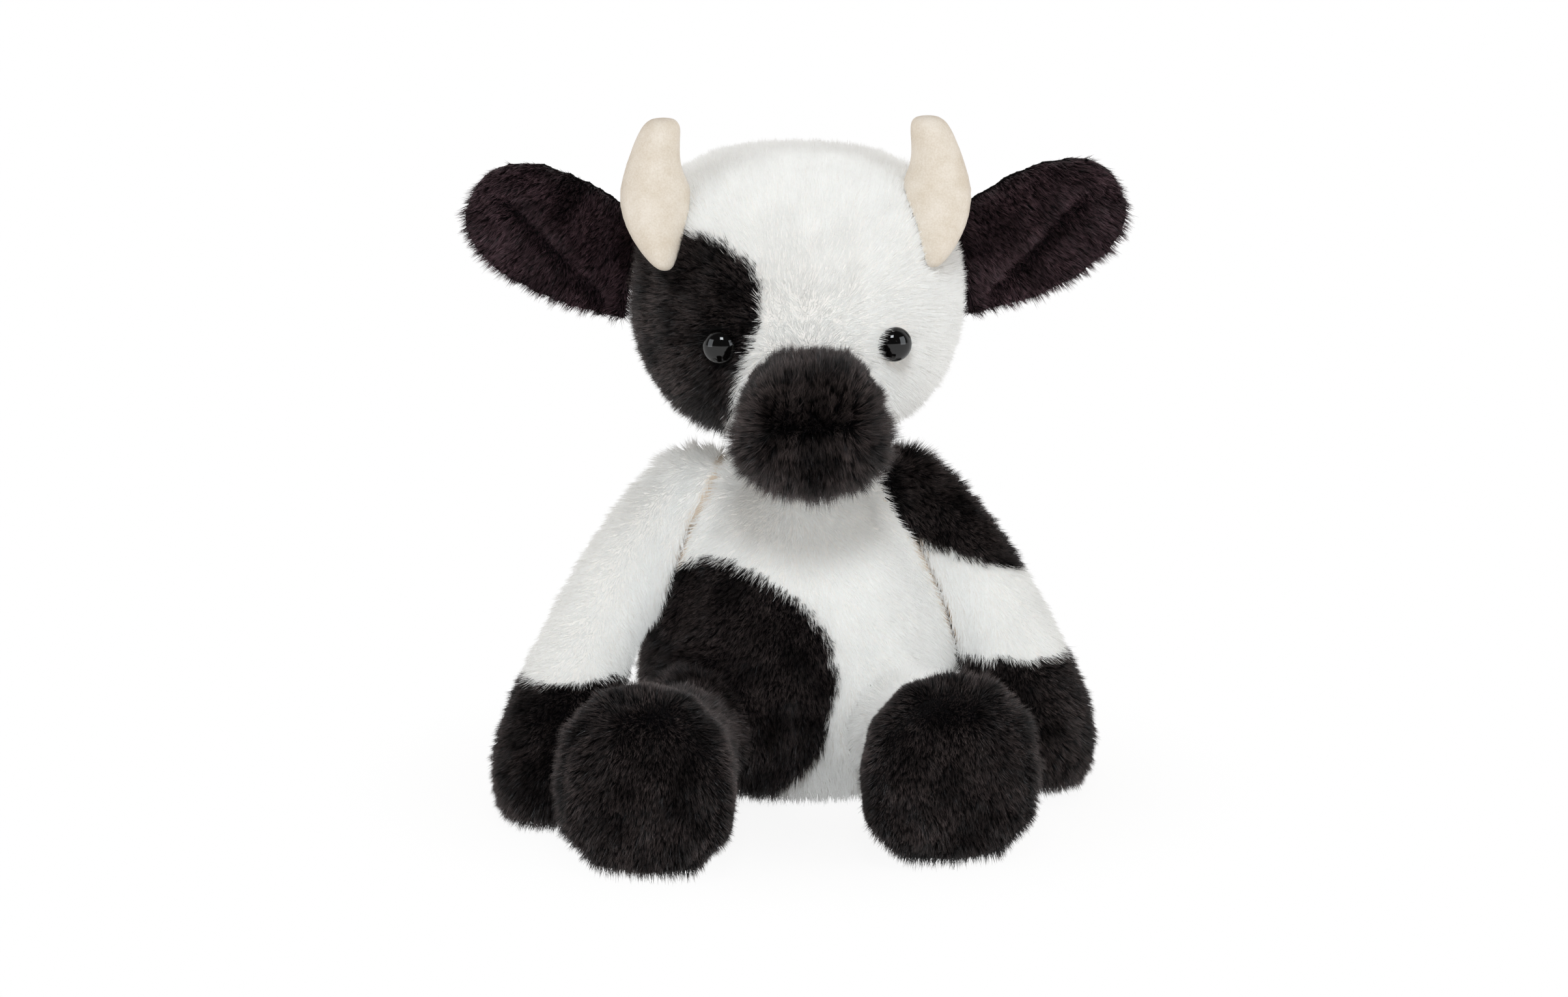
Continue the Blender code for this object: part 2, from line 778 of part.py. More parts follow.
def leg_pieces(side, forward, name):
    """The leg, the foot sewn to it, and the sole on the front of the foot."""
    direction = Vector((side * math.sin(SOLE_TURN), -math.cos(SOLE_TURN), 0))
    ankle = Vector((side * FOOT_SPREAD, -ANKLE_REACH - forward, 0))
    leg, rest = split(leg_form(side, forward), name + "_shank", name + "_rest", ankle, direction)
    front = -FOOT_REACH - forward - FOOT_BULGE
    seam = Vector((side * FOOT_SPREAD, front + SOLE_THICKNESS, 0))
    foot, sole = split(rest, name + "_instep", name + "_front", seam, direction)
    return leg, foot, sole


def arm_pieces(side, forward, name, rooms):
    """The arm and its paw. The rooms of larger pieces are cut out of the whole form first."""
    form = arm_form(side, forward)
    cut(form, *rooms)
    return split(form, name + "_sleeve", name + "_end", (0, 0, WRIST_HEIGHT), (0, 0, -1))


def tail_place():
    return Vector((0, TAIL_ROOT_REACH, TAIL_ROOT_HEIGHT))


def tail_pieces():
    """A thin stuffed tube from its ball in the torso, with a tuft on its end."""
    direction = Vector((0, math.cos(TAIL_DROP), -math.sin(TAIL_DROP)))
    swell = cage_swell(SMALL_SIDES)
    rings = []
    for along, wide in TAIL_PROFILE_SHARES:
        half = wide * TAIL_RADIUS * swell
        rings.append(ring(tail_place() + direction * along * TAIL_LENGTH, direction, (1, 0, 0), half, half))
    tail = stuffed_form("tail", rings, SMALL_SIDES)
    root = ball("tail_root", tail_place(), TAIL_ROOT_RADIUS, SMALL_BALL_LEVELS)
    boolean(tail, "UNION", root)
    rings = []
    start = tail_place() + direction * (TAIL_LENGTH - TUFT_LAP)
    for along, wide in TUFT_PROFILE_SHARES:
        half = wide * TUFT_RADIUS * swell
        rings.append(ring(start + direction * along * TUFT_LENGTH, direction, (1, 0, 0), half, half))
    tuft = stuffed_form("tuft", rings, SMALL_SIDES)
    cut(tuft, grown(tail, "tail_room", SEAM_GAP))
    return tail, tuft


def build_cow():
    """Makes every piece where it sits in the seated toy, and hangs the moving ones on pivots."""
    clear_scene()
    white = finish_of("plush_white", (0.86, 0.85, 0.83), 0.95)
    black = finish_of("plush_black", (0.012, 0.011, 0.012), 0.9)
    ear_black = finish_of("plush_ear", (0.022, 0.017, 0.020), 0.92)
    suede = finish_of("horn_suede", (0.83, 0.77, 0.67), 0.9)
    gloss = finish_of("eye_plastic", (0.006, 0.005, 0.005), 0.12)
    clear = finish_of("washer_plastic", (0.55, 0.55, 0.53), 0.5)
    tan = finish_of("lining_fabric", (0.62, 0.50, 0.40), 0.95)

    neck_place = Vector((0, NECK_SETBACK, NECK_HEIGHT))
    neck_pivot = pivot_at("neck_pivot", neck_place)
    head_pivot = pivot_at("head_pivot", neck_place, neck_pivot)
    around_neck = Matrix.Translation(neck_place)
    head_turn = around_neck @ Matrix.Rotation(HEAD_TURN, 4, "Z") @ around_neck.inverted()

    torso = torso_form()
    torso_room = grown(torso, "torso_room", LIMB_GAP)
    belly = flush_panel(
        torso,
        outline_of(BELLY_PATCH_SHARES, TORSO_WIDTH, 0, TORSO_HEIGHT),
        -TORSO_DEPTH,
        TORSO_DEPTH * BELLY_BACK_SHARE,
        "belly",
    )
    finished(ball("neck", neck_place, NECK_RADIUS), "neck", tan, neck_pivot)
    cut(torso, ball("neck_seat", neck_place, NECK_RADIUS + SEAT_GAP))
    for side in (-1, 1):
        for spot, radius in (
            (shoulder_place(side), SHOULDER_RADIUS),
            (hip_place(side), HIP_RADIUS),
        ):
            cut(torso, ball("seat", spot, radius + SEAT_GAP))
            cut(torso_room, ball("seat_room", spot, radius - SEAT_GAP / 2))
    cut(belly, ball("shoulder_seat", shoulder_place(-1), SHOULDER_RADIUS + SEAT_GAP))
    cut(belly, ball("hip_seat", hip_place(-1), HIP_RADIUS + SEAT_GAP))
    tail_seat = ball("tail_seat", tail_place(), TAIL_ROOT_RADIUS + SEAT_GAP, SMALL_BALL_LEVELS)
    cut(torso, tail_seat)
    finished(torso, "torso", white)
    finished(belly, "belly_patch", black)

    for side, word, forward, paw_forward, leg_finish in (
        (-1, "right", RIGHT_FOOT_FORWARD, RIGHT_PAW_FORWARD, black),
        (1, "left", 0, 0, white),
    ):
        leg_pivot = pivot_at(word + "_hip_pivot", hip_place(side))
        form = leg_form(side, forward)
        leg, foot, sole = leg_pieces(side, forward, word)
        cut(leg, torso_room)
        finished(leg, word + "_leg", leg_finish, leg_pivot)
        finished(foot, word + "_foot", black, leg_pivot)
        finished(sole, word + "_foot_sole", black, leg_pivot)
        arm_pivot = pivot_at(word + "_shoulder_pivot", shoulder_place(side))
        leg_room = grown(form, "leg_room", LIMB_GAP)
        arm, paw = arm_pieces(side, paw_forward, word, (torso_room, leg_room))
        if side > 0:
            patch_spot = (PATCH_END_SPREAD, 0, PATCH_END_HEIGHT)
            patch_normal = (-math.sin(PATCH_SLANT), 0, -math.cos(PATCH_SLANT))
            shoulder, arm = split(arm, "shoulder", "forearm", patch_spot, patch_normal)
            finished(shoulder, "shoulder_patch", black, arm_pivot)
        finished(arm, word + "_arm", white, arm_pivot)
        finished(paw, word + "_paw", black, arm_pivot)

    tail_pivot = pivot_at("tail_pivot", tail_place())
    tail, tuft = tail_pieces()
    finished(tail, "tail", white, tail_pivot)
    finished(tuft, "tail_tuft", black, tail_pivot)

    head = head_form()
    whole_head = copy_of(head, "whole_head")
    nose, chin = muzzle_forms(whole_head)
    face = flush_panel(
        head,
        outline_of(FACE_PATCH_SHARES, HEAD_WIDTH, HEAD_BASE_HEIGHT, HEAD_HEIGHT),
        -HEAD_DEPTH,
        HEAD_DEPTH * FACE_BACK_SHARE,
        "face",
    )
    for carrier in (head, face):
        cut(carrier, ball("head_seat", neck_place, NECK_RADIUS + SEAT_GAP))
    head_pieces = [
        (nose, "muzzle", black),
        (chin, "chin", black),
        (face, "face_patch", black),
    ]
    for side, word in ((-1, "right"), (1, "left")):
        place = eye_place(whole_head, side)
        eye_room = placed(turned("eye_room", eye_profile(SEAM_GAP)), place)
        cut(head, eye_room)
        if side < 0:
            cut(face, eye_room)
        head_pieces.append((placed(turned("eye", eye_profile()), place), word + "_eye", gloss))
        washer = placed(turned("washer", washer_profile()), place)
        head_pieces.append((washer, word + "_eye_washer", clear))
        horn = horn_form(side)
        cut(horn, grown(whole_head, "horn_seat", SEAM_GAP))
        head_pieces.append((horn, word + "_horn", suede))
        cut(head, ear_groove(side))
        if side < 0:
            cut(face, ear_groove(side))
    for obj, name, finish in head_pieces:
        finished(placed(obj, head_turn), name, finish, head_pivot)
    finished(placed(head, head_turn), "head", white, head_pivot)
    for side, word in ((-1, "right"), (1, "left")):
        ear_pivot = pivot_at(word + "_ear_pivot", head_turn @ ear_root(side), head_pivot)
        back, lining = ear_layers(side, word)
        finished(placed(back, head_turn), word + "_ear_back", ear_black, ear_pivot)
        finished(placed(lining, head_turn), word + "_ear_lining", ear_black, ear_pivot)


build_cow()
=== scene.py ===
# %% [markdown]
# # A plush cow, dressed for its photograph
#
# The frame is the toy as its pattern has it: thirty solids, most of them stuffed, that bend at
# nine seams. This lesson dresses it. The stuffed solids get cloth skins a little inside their
# outline, and the skins grow a pile of fine strands whose tips come back out to that outline.

# %% Start with the frame
import math

import bmesh
import bpy
import numpy as np
from mathutils import Matrix, Vector
from mathutils.bvhtree import BVHTree


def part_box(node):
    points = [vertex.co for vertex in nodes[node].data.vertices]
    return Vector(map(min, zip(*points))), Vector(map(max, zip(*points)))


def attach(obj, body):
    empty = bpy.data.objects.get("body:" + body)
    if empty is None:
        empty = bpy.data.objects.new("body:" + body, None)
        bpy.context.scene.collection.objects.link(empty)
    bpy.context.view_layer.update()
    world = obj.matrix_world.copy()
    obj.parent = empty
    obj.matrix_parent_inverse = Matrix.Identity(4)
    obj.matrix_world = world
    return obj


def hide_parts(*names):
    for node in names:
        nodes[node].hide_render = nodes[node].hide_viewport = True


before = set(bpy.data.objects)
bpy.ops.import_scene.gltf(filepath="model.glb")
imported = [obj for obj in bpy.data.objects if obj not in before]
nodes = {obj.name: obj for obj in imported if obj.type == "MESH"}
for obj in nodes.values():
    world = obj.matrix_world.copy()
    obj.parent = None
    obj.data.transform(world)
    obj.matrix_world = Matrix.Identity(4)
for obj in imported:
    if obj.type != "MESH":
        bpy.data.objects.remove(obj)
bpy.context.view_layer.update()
MM = 0.001

# %% [markdown]
# ## Colours and materials
#
# Colours are written as a paint chart gives them, in sRGB hex, and one function turns them into
# the linear light that Blender works in. Another adds a node with its settings and its links in
# one call, so that a material reads like a recipe.


# %% Colour and node helpers
def linear(code):
    """An sRGB hex colour in linear light, with alpha 1."""
    channels = [int(code[i : i + 2], 16) / 255 for i in (1, 3, 5)]
    light = [c / 12.92 if c <= 0.04045 else ((c + 0.055) / 1.055) ** 2.4 for c in channels]
    return (*light, 1.0)


def add_node(tree, kind, feeds=(), **settings):
    """Adds a node. A feed is a link where it is another node's socket, and else a value."""
    node = tree.nodes.new(kind)
    for name, value in settings.items():
        setattr(node, name, value)
    for socket, feed in dict(feeds).items():
        if isinstance(feed, bpy.types.NodeSocket):
            tree.links.new(feed, node.inputs[socket])
        else:
            node.inputs[socket].default_value = feed
    return node


def new_material(name, **finish):
    """A Principled material. Returns it with its tree and its shader."""
    material = bpy.data.materials.new(name)
    material.use_nodes = True
    shader = material.node_tree.nodes["Principled BSDF"]
    for socket, value in finish.items():
        shader.inputs[socket.replace("_", " ")].default_value = value
    return material, material.node_tree, shader


# %% [markdown]
# Plush yarn is modacrylic fibre, dyed in the mass, and each strand has a tone of its own. A
# strand's colour is darkened at its root, as painted shade where its neighbours shade it, and
# paled at its tip, as a painted highlight where the light catches it. Where a hand has stroked
# the pile one way or the other, a whole patch catches the light more or less, and that sheen is
# painted into the colour as paler and darker patches. A picture of fur on the cloth could give
# the colours, but it would lie flat. Here each strand has a small map of its own: across for its
# tone, and up from root to tip. White fibre is crimped and looks matt. Black fibre is straighter
# and smoother, so that it glints, and its pale tips are painted highlights that show as grey
# specks. The ears' black is a warmer one.

# %% Fibre materials
# The size of the patches of painted sheen, where the pile lies one way or the other
BRUSHED_SHEEN_PATCH = 14 * MM
NOISE_LOW, NOISE_HIGH = 0.35, 0.65  # most values of a noise lie between these
BODY_SHARE = 0.45  # how far up a strand its body colour is reached


def fibre_material(name, root, body, tip, roughness, spread, brushed_sheen):
    """Dyed pile, with painted shade at the root and a painted highlight at the tip.

    Spread is how far the strands differ in tone. The last argument is how far the patches
    differ, as a painted sheen of pile that lies one way or the other.
    """
    material, tree, shader = new_material(name, Roughness=roughness, IOR=1.5)
    place = add_node(tree, "ShaderNodeUVMap", uv_map="OFBake")
    parts = add_node(tree, "ShaderNodeSeparateXYZ", {0: place.outputs[0]})
    ramp = add_node(tree, "ShaderNodeValToRGB", {0: parts.outputs[1]})
    # The root's colour is painted shade and the tip's a painted highlight; the body between them
    # is the dye.
    ramp.color_ramp.elements[0].color = linear(root)
    ramp.color_ramp.elements[1].color = linear(tip)
    ramp.color_ramp.elements.new(BODY_SHARE).color = linear(body)
    tone = add_node(
        tree, "ShaderNodeMapRange", {0: parts.outputs[0], 3: 1 - spread, 4: 1 + spread},
        clamp=False,
    )
    where = add_node(tree, "ShaderNodeTexCoord")
    wave = add_node(
        tree, "ShaderNodeTexNoise",
        {0: where.outputs["Object"], "Scale": 1 / BRUSHED_SHEEN_PATCH, "Detail": 1.0},
    )
    # Paler and darker patches where the pile lies one way or the other: painted sheen
    patch = add_node(
        tree, "ShaderNodeMapRange",
        {0: wave.outputs[0], 1: NOISE_LOW, 2: NOISE_HIGH, 3: 1 - brushed_sheen, 4: 1 + brushed_sheen},
    )
    value = add_node(
        tree, "ShaderNodeMath", {0: tone.outputs[0], 1: patch.outputs[0]}, operation="MULTIPLY"
    )
    toned = add_node(
        tree, "ShaderNodeHueSaturation", {"Color": ramp.outputs[0], "Value": value.outputs[0]}
    )
    tree.links.new(toned.outputs[0], shader.inputs["Base Color"])
    return material


white_fibre = fibre_material(
    "white plush fibre", "#f1f0ee", "#f3f3f1", "#f5f5f4", roughness=0.8, spread=0.015,
    brushed_sheen=0.015,
)
black_fibre = fibre_material(
    "black plush fibre", "#060505", "#161212", "#5e5452", roughness=0.4, spread=0.9,
    brushed_sheen=0.55,
)
ear_fibre = fibre_material(
    "ear plush fibre", "#0d0809", "#332529", "#786067", roughness=0.4, spread=0.9,
    brushed_sheen=0.35,
)

# %% [markdown]
# Under the pile is a knitted backing, which looks quite matt. On white plush it is off-white,
# with tan thread where two panels are sewn together, and on black plush it is dyed black. Each
# panel could have a material of its own, but the skin carries its dye and its seams as
# attributes, so that one serves them all. The thread's ply is too fine to show, and is drawn
# 1.2 mm long.

# %% Backing material
PLY = 1.2 * MM


def backing_material():
    """Knit that is off-white or dyed black, with tan thread along its seams."""
    material, tree, shader = new_material("knitted backing", Roughness=0.95, IOR=1.3)
    dye = add_node(tree, "ShaderNodeAttribute", attribute_name="dye")
    place = add_node(tree, "ShaderNodeTexCoord")
    ply = add_node(tree, "ShaderNodeTexNoise", {0: place.outputs["Object"], "Scale": 1 / PLY})
    seam = add_node(tree, "ShaderNodeAttribute", attribute_name="seam")
    thread = add_node(
        tree, "ShaderNodeMix", {0: ply.outputs[0], 6: linear("#d6c4b0"), 7: linear("#e8dccd")},
        data_type="RGBA",
    )
    sewn = add_node(
        tree, "ShaderNodeMix",
        {0: seam.outputs["Fac"], 6: linear("#f3f0ec"), 7: thread.outputs[2]},
        data_type="RGBA",
    )
    dyed = add_node(
        tree, "ShaderNodeMix",
        {0: dye.outputs["Fac"], 6: sewn.outputs[2], 7: linear("#0d0b0c")},
        data_type="RGBA",
    )
    tree.links.new(dyed.outputs[2], shader.inputs["Base Color"])
    return material


backing = backing_material()

# %% [markdown]
# ## Asking the solids
#
# The skins and their pile have to know two things of the CAD solids: how far off the nearest of
# a few of them is, and whether one of them hides a point from the front. A BVH tree sorts a
# solid's faces into boxes, so that it answers both at once, without a look at every face.

# %% Distance and sight
RAY_START = 3 * MM  # ahead of a point, clear of the cloth that it lies on
surfaces = {
    name: BVHTree.FromPolygons(
        [vertex.co for vertex in node.data.vertices],
        [face.vertices for face in node.data.polygons],
    )
    for name, node in nodes.items()
}
print("solids to ask:", len(surfaces))


def distances(points, solids):
    """For each point, how far it is from the nearest of these solids."""
    return np.array([min(surfaces[s].find_nearest(p)[3] for s in solids) for p in points])


def out_of_sight(points, solids):
    """1 where one of these solids hides a point from the front, and else 0."""
    front = Vector((0, -1, 0))
    starts = [Vector(point) + front * RAY_START for point in points]
    hits = [any(surfaces[s].ray_cast(p, front)[0] for s in solids) for p in starts]
    return np.array(hits, float)


# %% [markdown]
# ## Skins
#
# The real covers are panels, sewn inside out, turned and stuffed tight, so a cover has the shape
# of its filling. It could be blown up by a cloth simulation, but a tight cover hangs nowhere. A
# skin starts from the CAD solids of one moving body instead, panels and all. A voxel remesh sews
# them into one cloth and a smoothing takes the facets out. The cloth is then drawn in by the
# depth of the pile, except beside a horn, the muzzle, the face or another limb, where it comes
# up to the seam. It keeps clear of its neighbours that way, and moves with its own body.


# %% Mesh helpers
def freeze(obj):
    """Applies an object's modifiers to its mesh."""
    graph = bpy.context.evaluated_depsgraph_get()
    mesh = bpy.data.meshes.new_from_object(obj.evaluated_get(graph))
    obj.modifiers.clear()
    old, obj.data = obj.data, mesh
    bpy.data.meshes.remove(old)


def mesh_object(name, bm):
    """A new object from a bmesh, which is used up."""
    mesh = bpy.data.meshes.new(name)
    bm.to_mesh(mesh)
    bm.free()
    obj = bpy.data.objects.new(name, mesh)
    bpy.context.scene.collection.objects.link(obj)
    return obj


def vectors_of(values, key):
    """The co of points, or the vector of normals, as an array."""
    flat = np.empty(3 * len(values), np.float32)
    values.foreach_get(key, flat)
    return flat.reshape(-1, 3).astype(float)


# %% A skin
PILE_DEPTH = 3.6 * MM
SEAM_REACH = 2.5 * MM  # this near to a neighbour the cloth comes up to the seam
SEAM_SLOPE = 7.0 * MM  # and over this much more it goes down to the pile's depth


def skin_of(name, solids, depth=PILE_DEPTH, pitch=2.6 * MM, rounds=5, filler=(), near=(),
            seam_depth=0.6 * MM):
    """The cloth under the pile of these solids. Filler is solids that only close its holes.

    The cloth is drawn in by the depth of the pile, but only by the depth of a seam beside
    whatever is near.
    """
    bm = bmesh.new()
    for solid in (*solids, *filler):
        bm.from_mesh(nodes[solid].data)
    bmesh.ops.remove_doubles(bm, verts=bm.verts, dist=0.01 * MM)
    skin = mesh_object(name, bm)
    sew = skin.modifiers.new("sew", "REMESH")
    sew.mode = "VOXEL"
    sew.voxel_size = pitch
    relax = skin.modifiers.new("relax", "SMOOTH")
    relax.factor = 0.5
    relax.iterations = rounds
    freeze(skin)
    points = vectors_of(skin.data.vertices, "co")
    inwards = -vectors_of(skin.data.vertex_normals, "vector")
    depths = np.full(len(points), depth)
    if near:
        clear = (distances(points, near) - SEAM_REACH) / SEAM_SLOPE
        depths = seam_depth + (depth - seam_depth) * np.clip(clear, 0, 1)
    points += inwards * depths[:, None]
    skin.data.vertices.foreach_set("co", points.astype(np.float32).ravel())
    skin.data.update()
    skin.data.shade_smooth()
    skin.data.materials.append(backing)
    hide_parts(*solids)
    print(f"{name}: {len(points)} points")
    return skin


# %% [markdown]
# A nap is a flow over the cloth: away from the nose on the head, down the body, towards the
# paws on the limbs. It could be combed in by hand, stroke by stroke. A rule for each skin is
# shorter, and it still holds when a size of the toy changes.


# %% Ways that a nap runs
def unit(vectors):
    """Vectors of length 1."""
    return vectors / np.maximum(np.linalg.norm(vectors, axis=-1, keepdims=True), 1e-9)


def away_from(centre, pull=(0, 0, 0), half=0.0):
    """A nap that runs away from a point, or from a level line of that half length."""

    def nap(points):
        start = np.tile(np.array(centre, float), (len(points), 1))
        start[:, 0] += np.clip(points[:, 0] - start[:, 0], -half, half)
        return unit(unit(points - start) + np.array(pull))

    return nap


def along(*direction):
    """A nap that runs one way."""
    return lambda points: np.tile(np.array(direction, float), (len(points), 1))


# %% [markdown]
# A skin carries, point by point, all that its pile has to know: the nap, the loft, which is the
# pile's length as a share of the full one, and how thickly it grows. Plush that nobody sees at a
# glance, on the back and underneath, is grown thinner, so that more strands are left for the
# front. Beside a neighbour the pile has no room, and round an eye it is shaved. Where an arm is
# sewn to the body, a line of bare thread shows in front. Behind that line, where only a raised
# arm shows the cloth, the pile is thin and pressed short.

# %% Where the pile thins
BACK_FROM, BACK_FADE = 0.08, 0.25  # how far a normal points back where the pile starts to thin
UNDER_FROM, UNDER_FADE = 0.5, 0.4  # and how far down
THINNED = 0.77
EDGE_FADE = 0.5 * MM
THREAD_OUT, PILE_IN = 2.9 * MM, 2.3 * MM  # from what is sewn on: where thread ends, pile starts
PRESSED_SHARE = 0.35  # of the strands, behind the seam
PRESSED_BY, PRESSED_OUT, PRESSED_FADE = 0.4, 5 * MM, 2 * MM


def facing_share(normals):
    """The pile's share by where the cloth faces: 1 in front, less behind and underneath."""
    back = (normals[:, 1] - BACK_FROM) / BACK_FADE
    under = (-normals[:, 2] - UNDER_FROM) / UNDER_FADE
    return 1 - THINNED * np.clip(np.maximum(back, under), 0, 1)


def sewn_edge(points, own, sewn):
    """The pile's share and loft, and the thread, near what is sewn to a body's own solids."""
    off = distances(points, sewn)
    hidden = out_of_sight(points, (*own, *sewn))
    share = np.maximum(np.clip((off - PILE_IN) / EDGE_FADE, 0, 1), PRESSED_SHARE * hidden)
    pressed = hidden * np.clip((PRESSED_OUT - off) / PRESSED_FADE, 0, 1)
    thread = np.clip((THREAD_OUT - off) / EDGE_FADE, 0, 1) * (1 - hidden)
    return share, 1 - PRESSED_BY * pressed, thread


# %% Napping a skin
def store(mesh, name, values):
    """Stores a number or a vector at each point of a mesh."""
    values = np.asarray(values, np.float32)
    kind, key = ("FLOAT", "value") if values.ndim == 1 else ("FLOAT_VECTOR", "vector")
    mesh.attributes.new(name, kind, "POINT").data.foreach_set(key, values.ravel())


def nap_skin(skin, nap, black=(), white=(), neighbours=(), room=1.5 * MM,
             hard=(), shaved=0.0, sewn=(), loft=None):
    """Stores the nap, the loft, the black and white panels' shares, the dye and the seams.

    The pile has no room nearer than room to a neighbour, and is shaved round what is hard.
    """
    points = vectors_of(skin.data.vertices, "co")
    normals = vectors_of(skin.data.vertex_normals, "vector")
    flow = nap(points)
    flow = flow - normals * (flow * normals).sum(1, keepdims=True)
    share = facing_share(normals)
    lofts = np.ones(len(points)) if loft is None else loft(points)
    seam = np.zeros(len(points))
    for solids, clear in ((neighbours, room), (hard, shaved)):
        if solids:
            share *= np.clip((distances(points, solids) - clear) / EDGE_FADE, 0, 1)
    if sewn:
        share_here, loft_here, seam = sewn_edge(points, (*black, *white), sewn)
        share *= share_here
        lofts *= loft_here
    dye = np.full(len(points), 1.0 if black else 0.0)
    if black and white:
        dye = (distances(points, black) < distances(points, white)).astype(float)
    store(skin.data, "nap", flow)
    store(skin.data, "loft", lofts)
    store(skin.data, "white_share", share * (1 - dye))
    store(skin.data, "black_share", share * dye)
    store(skin.data, "dye", dye)
    store(skin.data, "seam", seam)


# %% [markdown]
# ## Pile
#
# Real plush has dozens of fibres to the square millimetre, each about 0.03 mm thick, too many
# and too fine to draw. So a strand stands for several. It is drawn about ten times as wide, with
# two to seven of them to the square millimetre. Blender's hair curves could draw them, but few
# other programs read hair, and a plain mesh goes anywhere. One strand is a thin three-sided
# spike of four faces, a unit long, whose map runs across its sides and up from root to tip.


# %% One strand
def make_strand():
    """A closed spike on the origin, with its own map: across its sides, and root to tip."""
    bm = bmesh.new()
    bmesh.ops.create_cone(
        bm, cap_ends=True, segments=3, radius1=0.5, radius2=0.0, depth=1.0,
        matrix=Matrix.Translation((0, 0, 0.5)),
    )
    bmesh.ops.remove_doubles(bm, verts=bm.verts, dist=0.001)
    uv = bm.loops.layers.uv.new("OFBake")
    for face in bm.faces:
        foot = all(vert.co.z < 0.5 for vert in face.verts)
        for corner, loop in enumerate(face.loops):
            loop[uv].uv = (corner / 2, 0.04 * (corner % 2) if foot else loop.vert.co.z)
    return mesh_object("strand", bm)


strand = make_strand()

# %% [markdown]
# A strand starts upright and lies over with the nap, and a broad wave turns it a little, as a
# stroking hand leaves it. Plush yarn comes out of the backing in tufts, whose strands meet near
# their tips. The cells of a Voronoi texture are the tufts here, and a strand leans towards the
# middle of its cell too. At last each one strays a little by chance and is spun round itself.

# %% Leaning the strands
STROKE = 9 * MM


def strand_turns(tree, normal, cells, seed, rise, swirl, tuft, gather, stray):
    """How each strand is turned. Rise is how far it stands up against the nap."""
    nap = add_node(
        tree, "GeometryNodeInputNamedAttribute", {0: "nap"}, data_type="FLOAT_VECTOR"
    )
    upright = add_node(
        tree, "ShaderNodeVectorMath", {0: normal, "Scale": rise}, operation="SCALE"
    )
    lean = add_node(
        tree, "ShaderNodeVectorMath", {0: upright.outputs[0], 1: nap.outputs[0]},
        operation="ADD",
    )
    wave = add_node(tree, "ShaderNodeTexNoise", {"Scale": 1 / STROKE, "Detail": 1.0})
    centred = add_node(
        tree, "ShaderNodeVectorMath",
        {0: wave.outputs["Color"], 1: (swirl,) * 3, 2: (-swirl / 2,) * 3},
        operation="MULTIPLY_ADD",
    )
    waved = add_node(
        tree, "ShaderNodeVectorMath", {0: lean.outputs[0], 1: centred.outputs[0]},
        operation="ADD",
    )
    root = add_node(tree, "GeometryNodeInputPosition")
    inward = add_node(
        tree, "ShaderNodeVectorMath", {0: cells.outputs["Position"], 1: root.outputs[0]},
        operation="SUBTRACT",
    )
    tufted = add_node(
        tree, "ShaderNodeVectorMath",
        {0: inward.outputs[0], 1: (gather / tuft,) * 3, 2: waved.outputs[0]},
        operation="MULTIPLY_ADD",
    )
    jitter = add_node(
        tree, "FunctionNodeRandomValue", {0: (-stray,) * 3, 1: (stray,) * 3, 8: seed + 1},
        data_type="FLOAT_VECTOR",
    )
    strayed = add_node(
        tree, "ShaderNodeVectorMath", {0: tufted.outputs[0], 1: jitter.outputs[0]},
        operation="ADD",
    )
    aimed = add_node(
        tree, "FunctionNodeAlignRotationToVector", {"Vector": strayed.outputs[0]}, axis="Z"
    )
    spin = add_node(tree, "FunctionNodeRandomValue", {3: math.tau, 8: seed + 2})
    twist = add_node(
        tree, "FunctionNodeAxisAngleToRotation", {0: (0, 0, 1), 1: spin.outputs[1]}
    )
    turned = add_node(
        tree, "FunctionNodeRotateRotation", {0: aimed.outputs[0], 1: twist.outputs[0]},
        rotation_space="LOCAL",
    )
    return turned.outputs[0]


# %% [markdown]
# The shears that level a pile leave strands of different lengths, and one tuft stands a little
# longer than the next. So a strand's length is drawn by chance, and changed by its tuft and by
# the loft that the skin carries. Its width is drawn by chance too.

# %% Sizing the strands
SHORTEST_SHARE, LONGEST_SHARE = 0.62, 1.02
THINNEST_SHARE, THICKEST_SHARE = 0.75, 1.25


def strand_sizes(tree, cells, seed, pile, width, ragged):
    """Each strand's width, twice, and its length. Ragged is how far the tufts differ."""
    each = add_node(
        tree, "FunctionNodeRandomValue",
        {2: SHORTEST_SHARE * pile, 3: LONGEST_SHARE * pile, 8: seed + 3},
    )
    cell = add_node(tree, "ShaderNodeSeparateXYZ", {0: cells.outputs["Color"]})
    by_tuft = add_node(
        tree, "ShaderNodeMapRange", {0: cell.outputs[0], 3: 1 - ragged, 4: 1 + ragged}
    )
    loft = add_node(
        tree, "GeometryNodeInputNamedAttribute", {0: "loft"}, data_type="FLOAT"
    )
    by_place = add_node(
        tree, "ShaderNodeMath", {0: loft.outputs[0], 1: by_tuft.outputs[0]},
        operation="MULTIPLY",
    )
    long = add_node(
        tree, "ShaderNodeMath", {0: each.outputs[1], 1: by_place.outputs[0]},
        operation="MULTIPLY",
    )
    thin = add_node(
        tree, "FunctionNodeRandomValue",
        {2: THINNEST_SHARE * width, 3: THICKEST_SHARE * width, 8: seed + 4},
    )
    size = add_node(
        tree, "ShaderNodeCombineXYZ",
        {0: thin.outputs[1], 1: thin.outputs[1], 2: long.outputs[0]},
    )
    return size.outputs[0]


# %% [markdown]
# All strands are copies, so their maps are alike. Each map is squeezed into a narrow column and
# moved across by chance, and where it ends up is the strand's tone. Pale fibre lets light
# through, so that soft pile shows no dark side. Its strands take the direction of the cloth
# under them as their own for that.

# %% Mapping and softening the strands
COLUMN_SHARE = 0.03


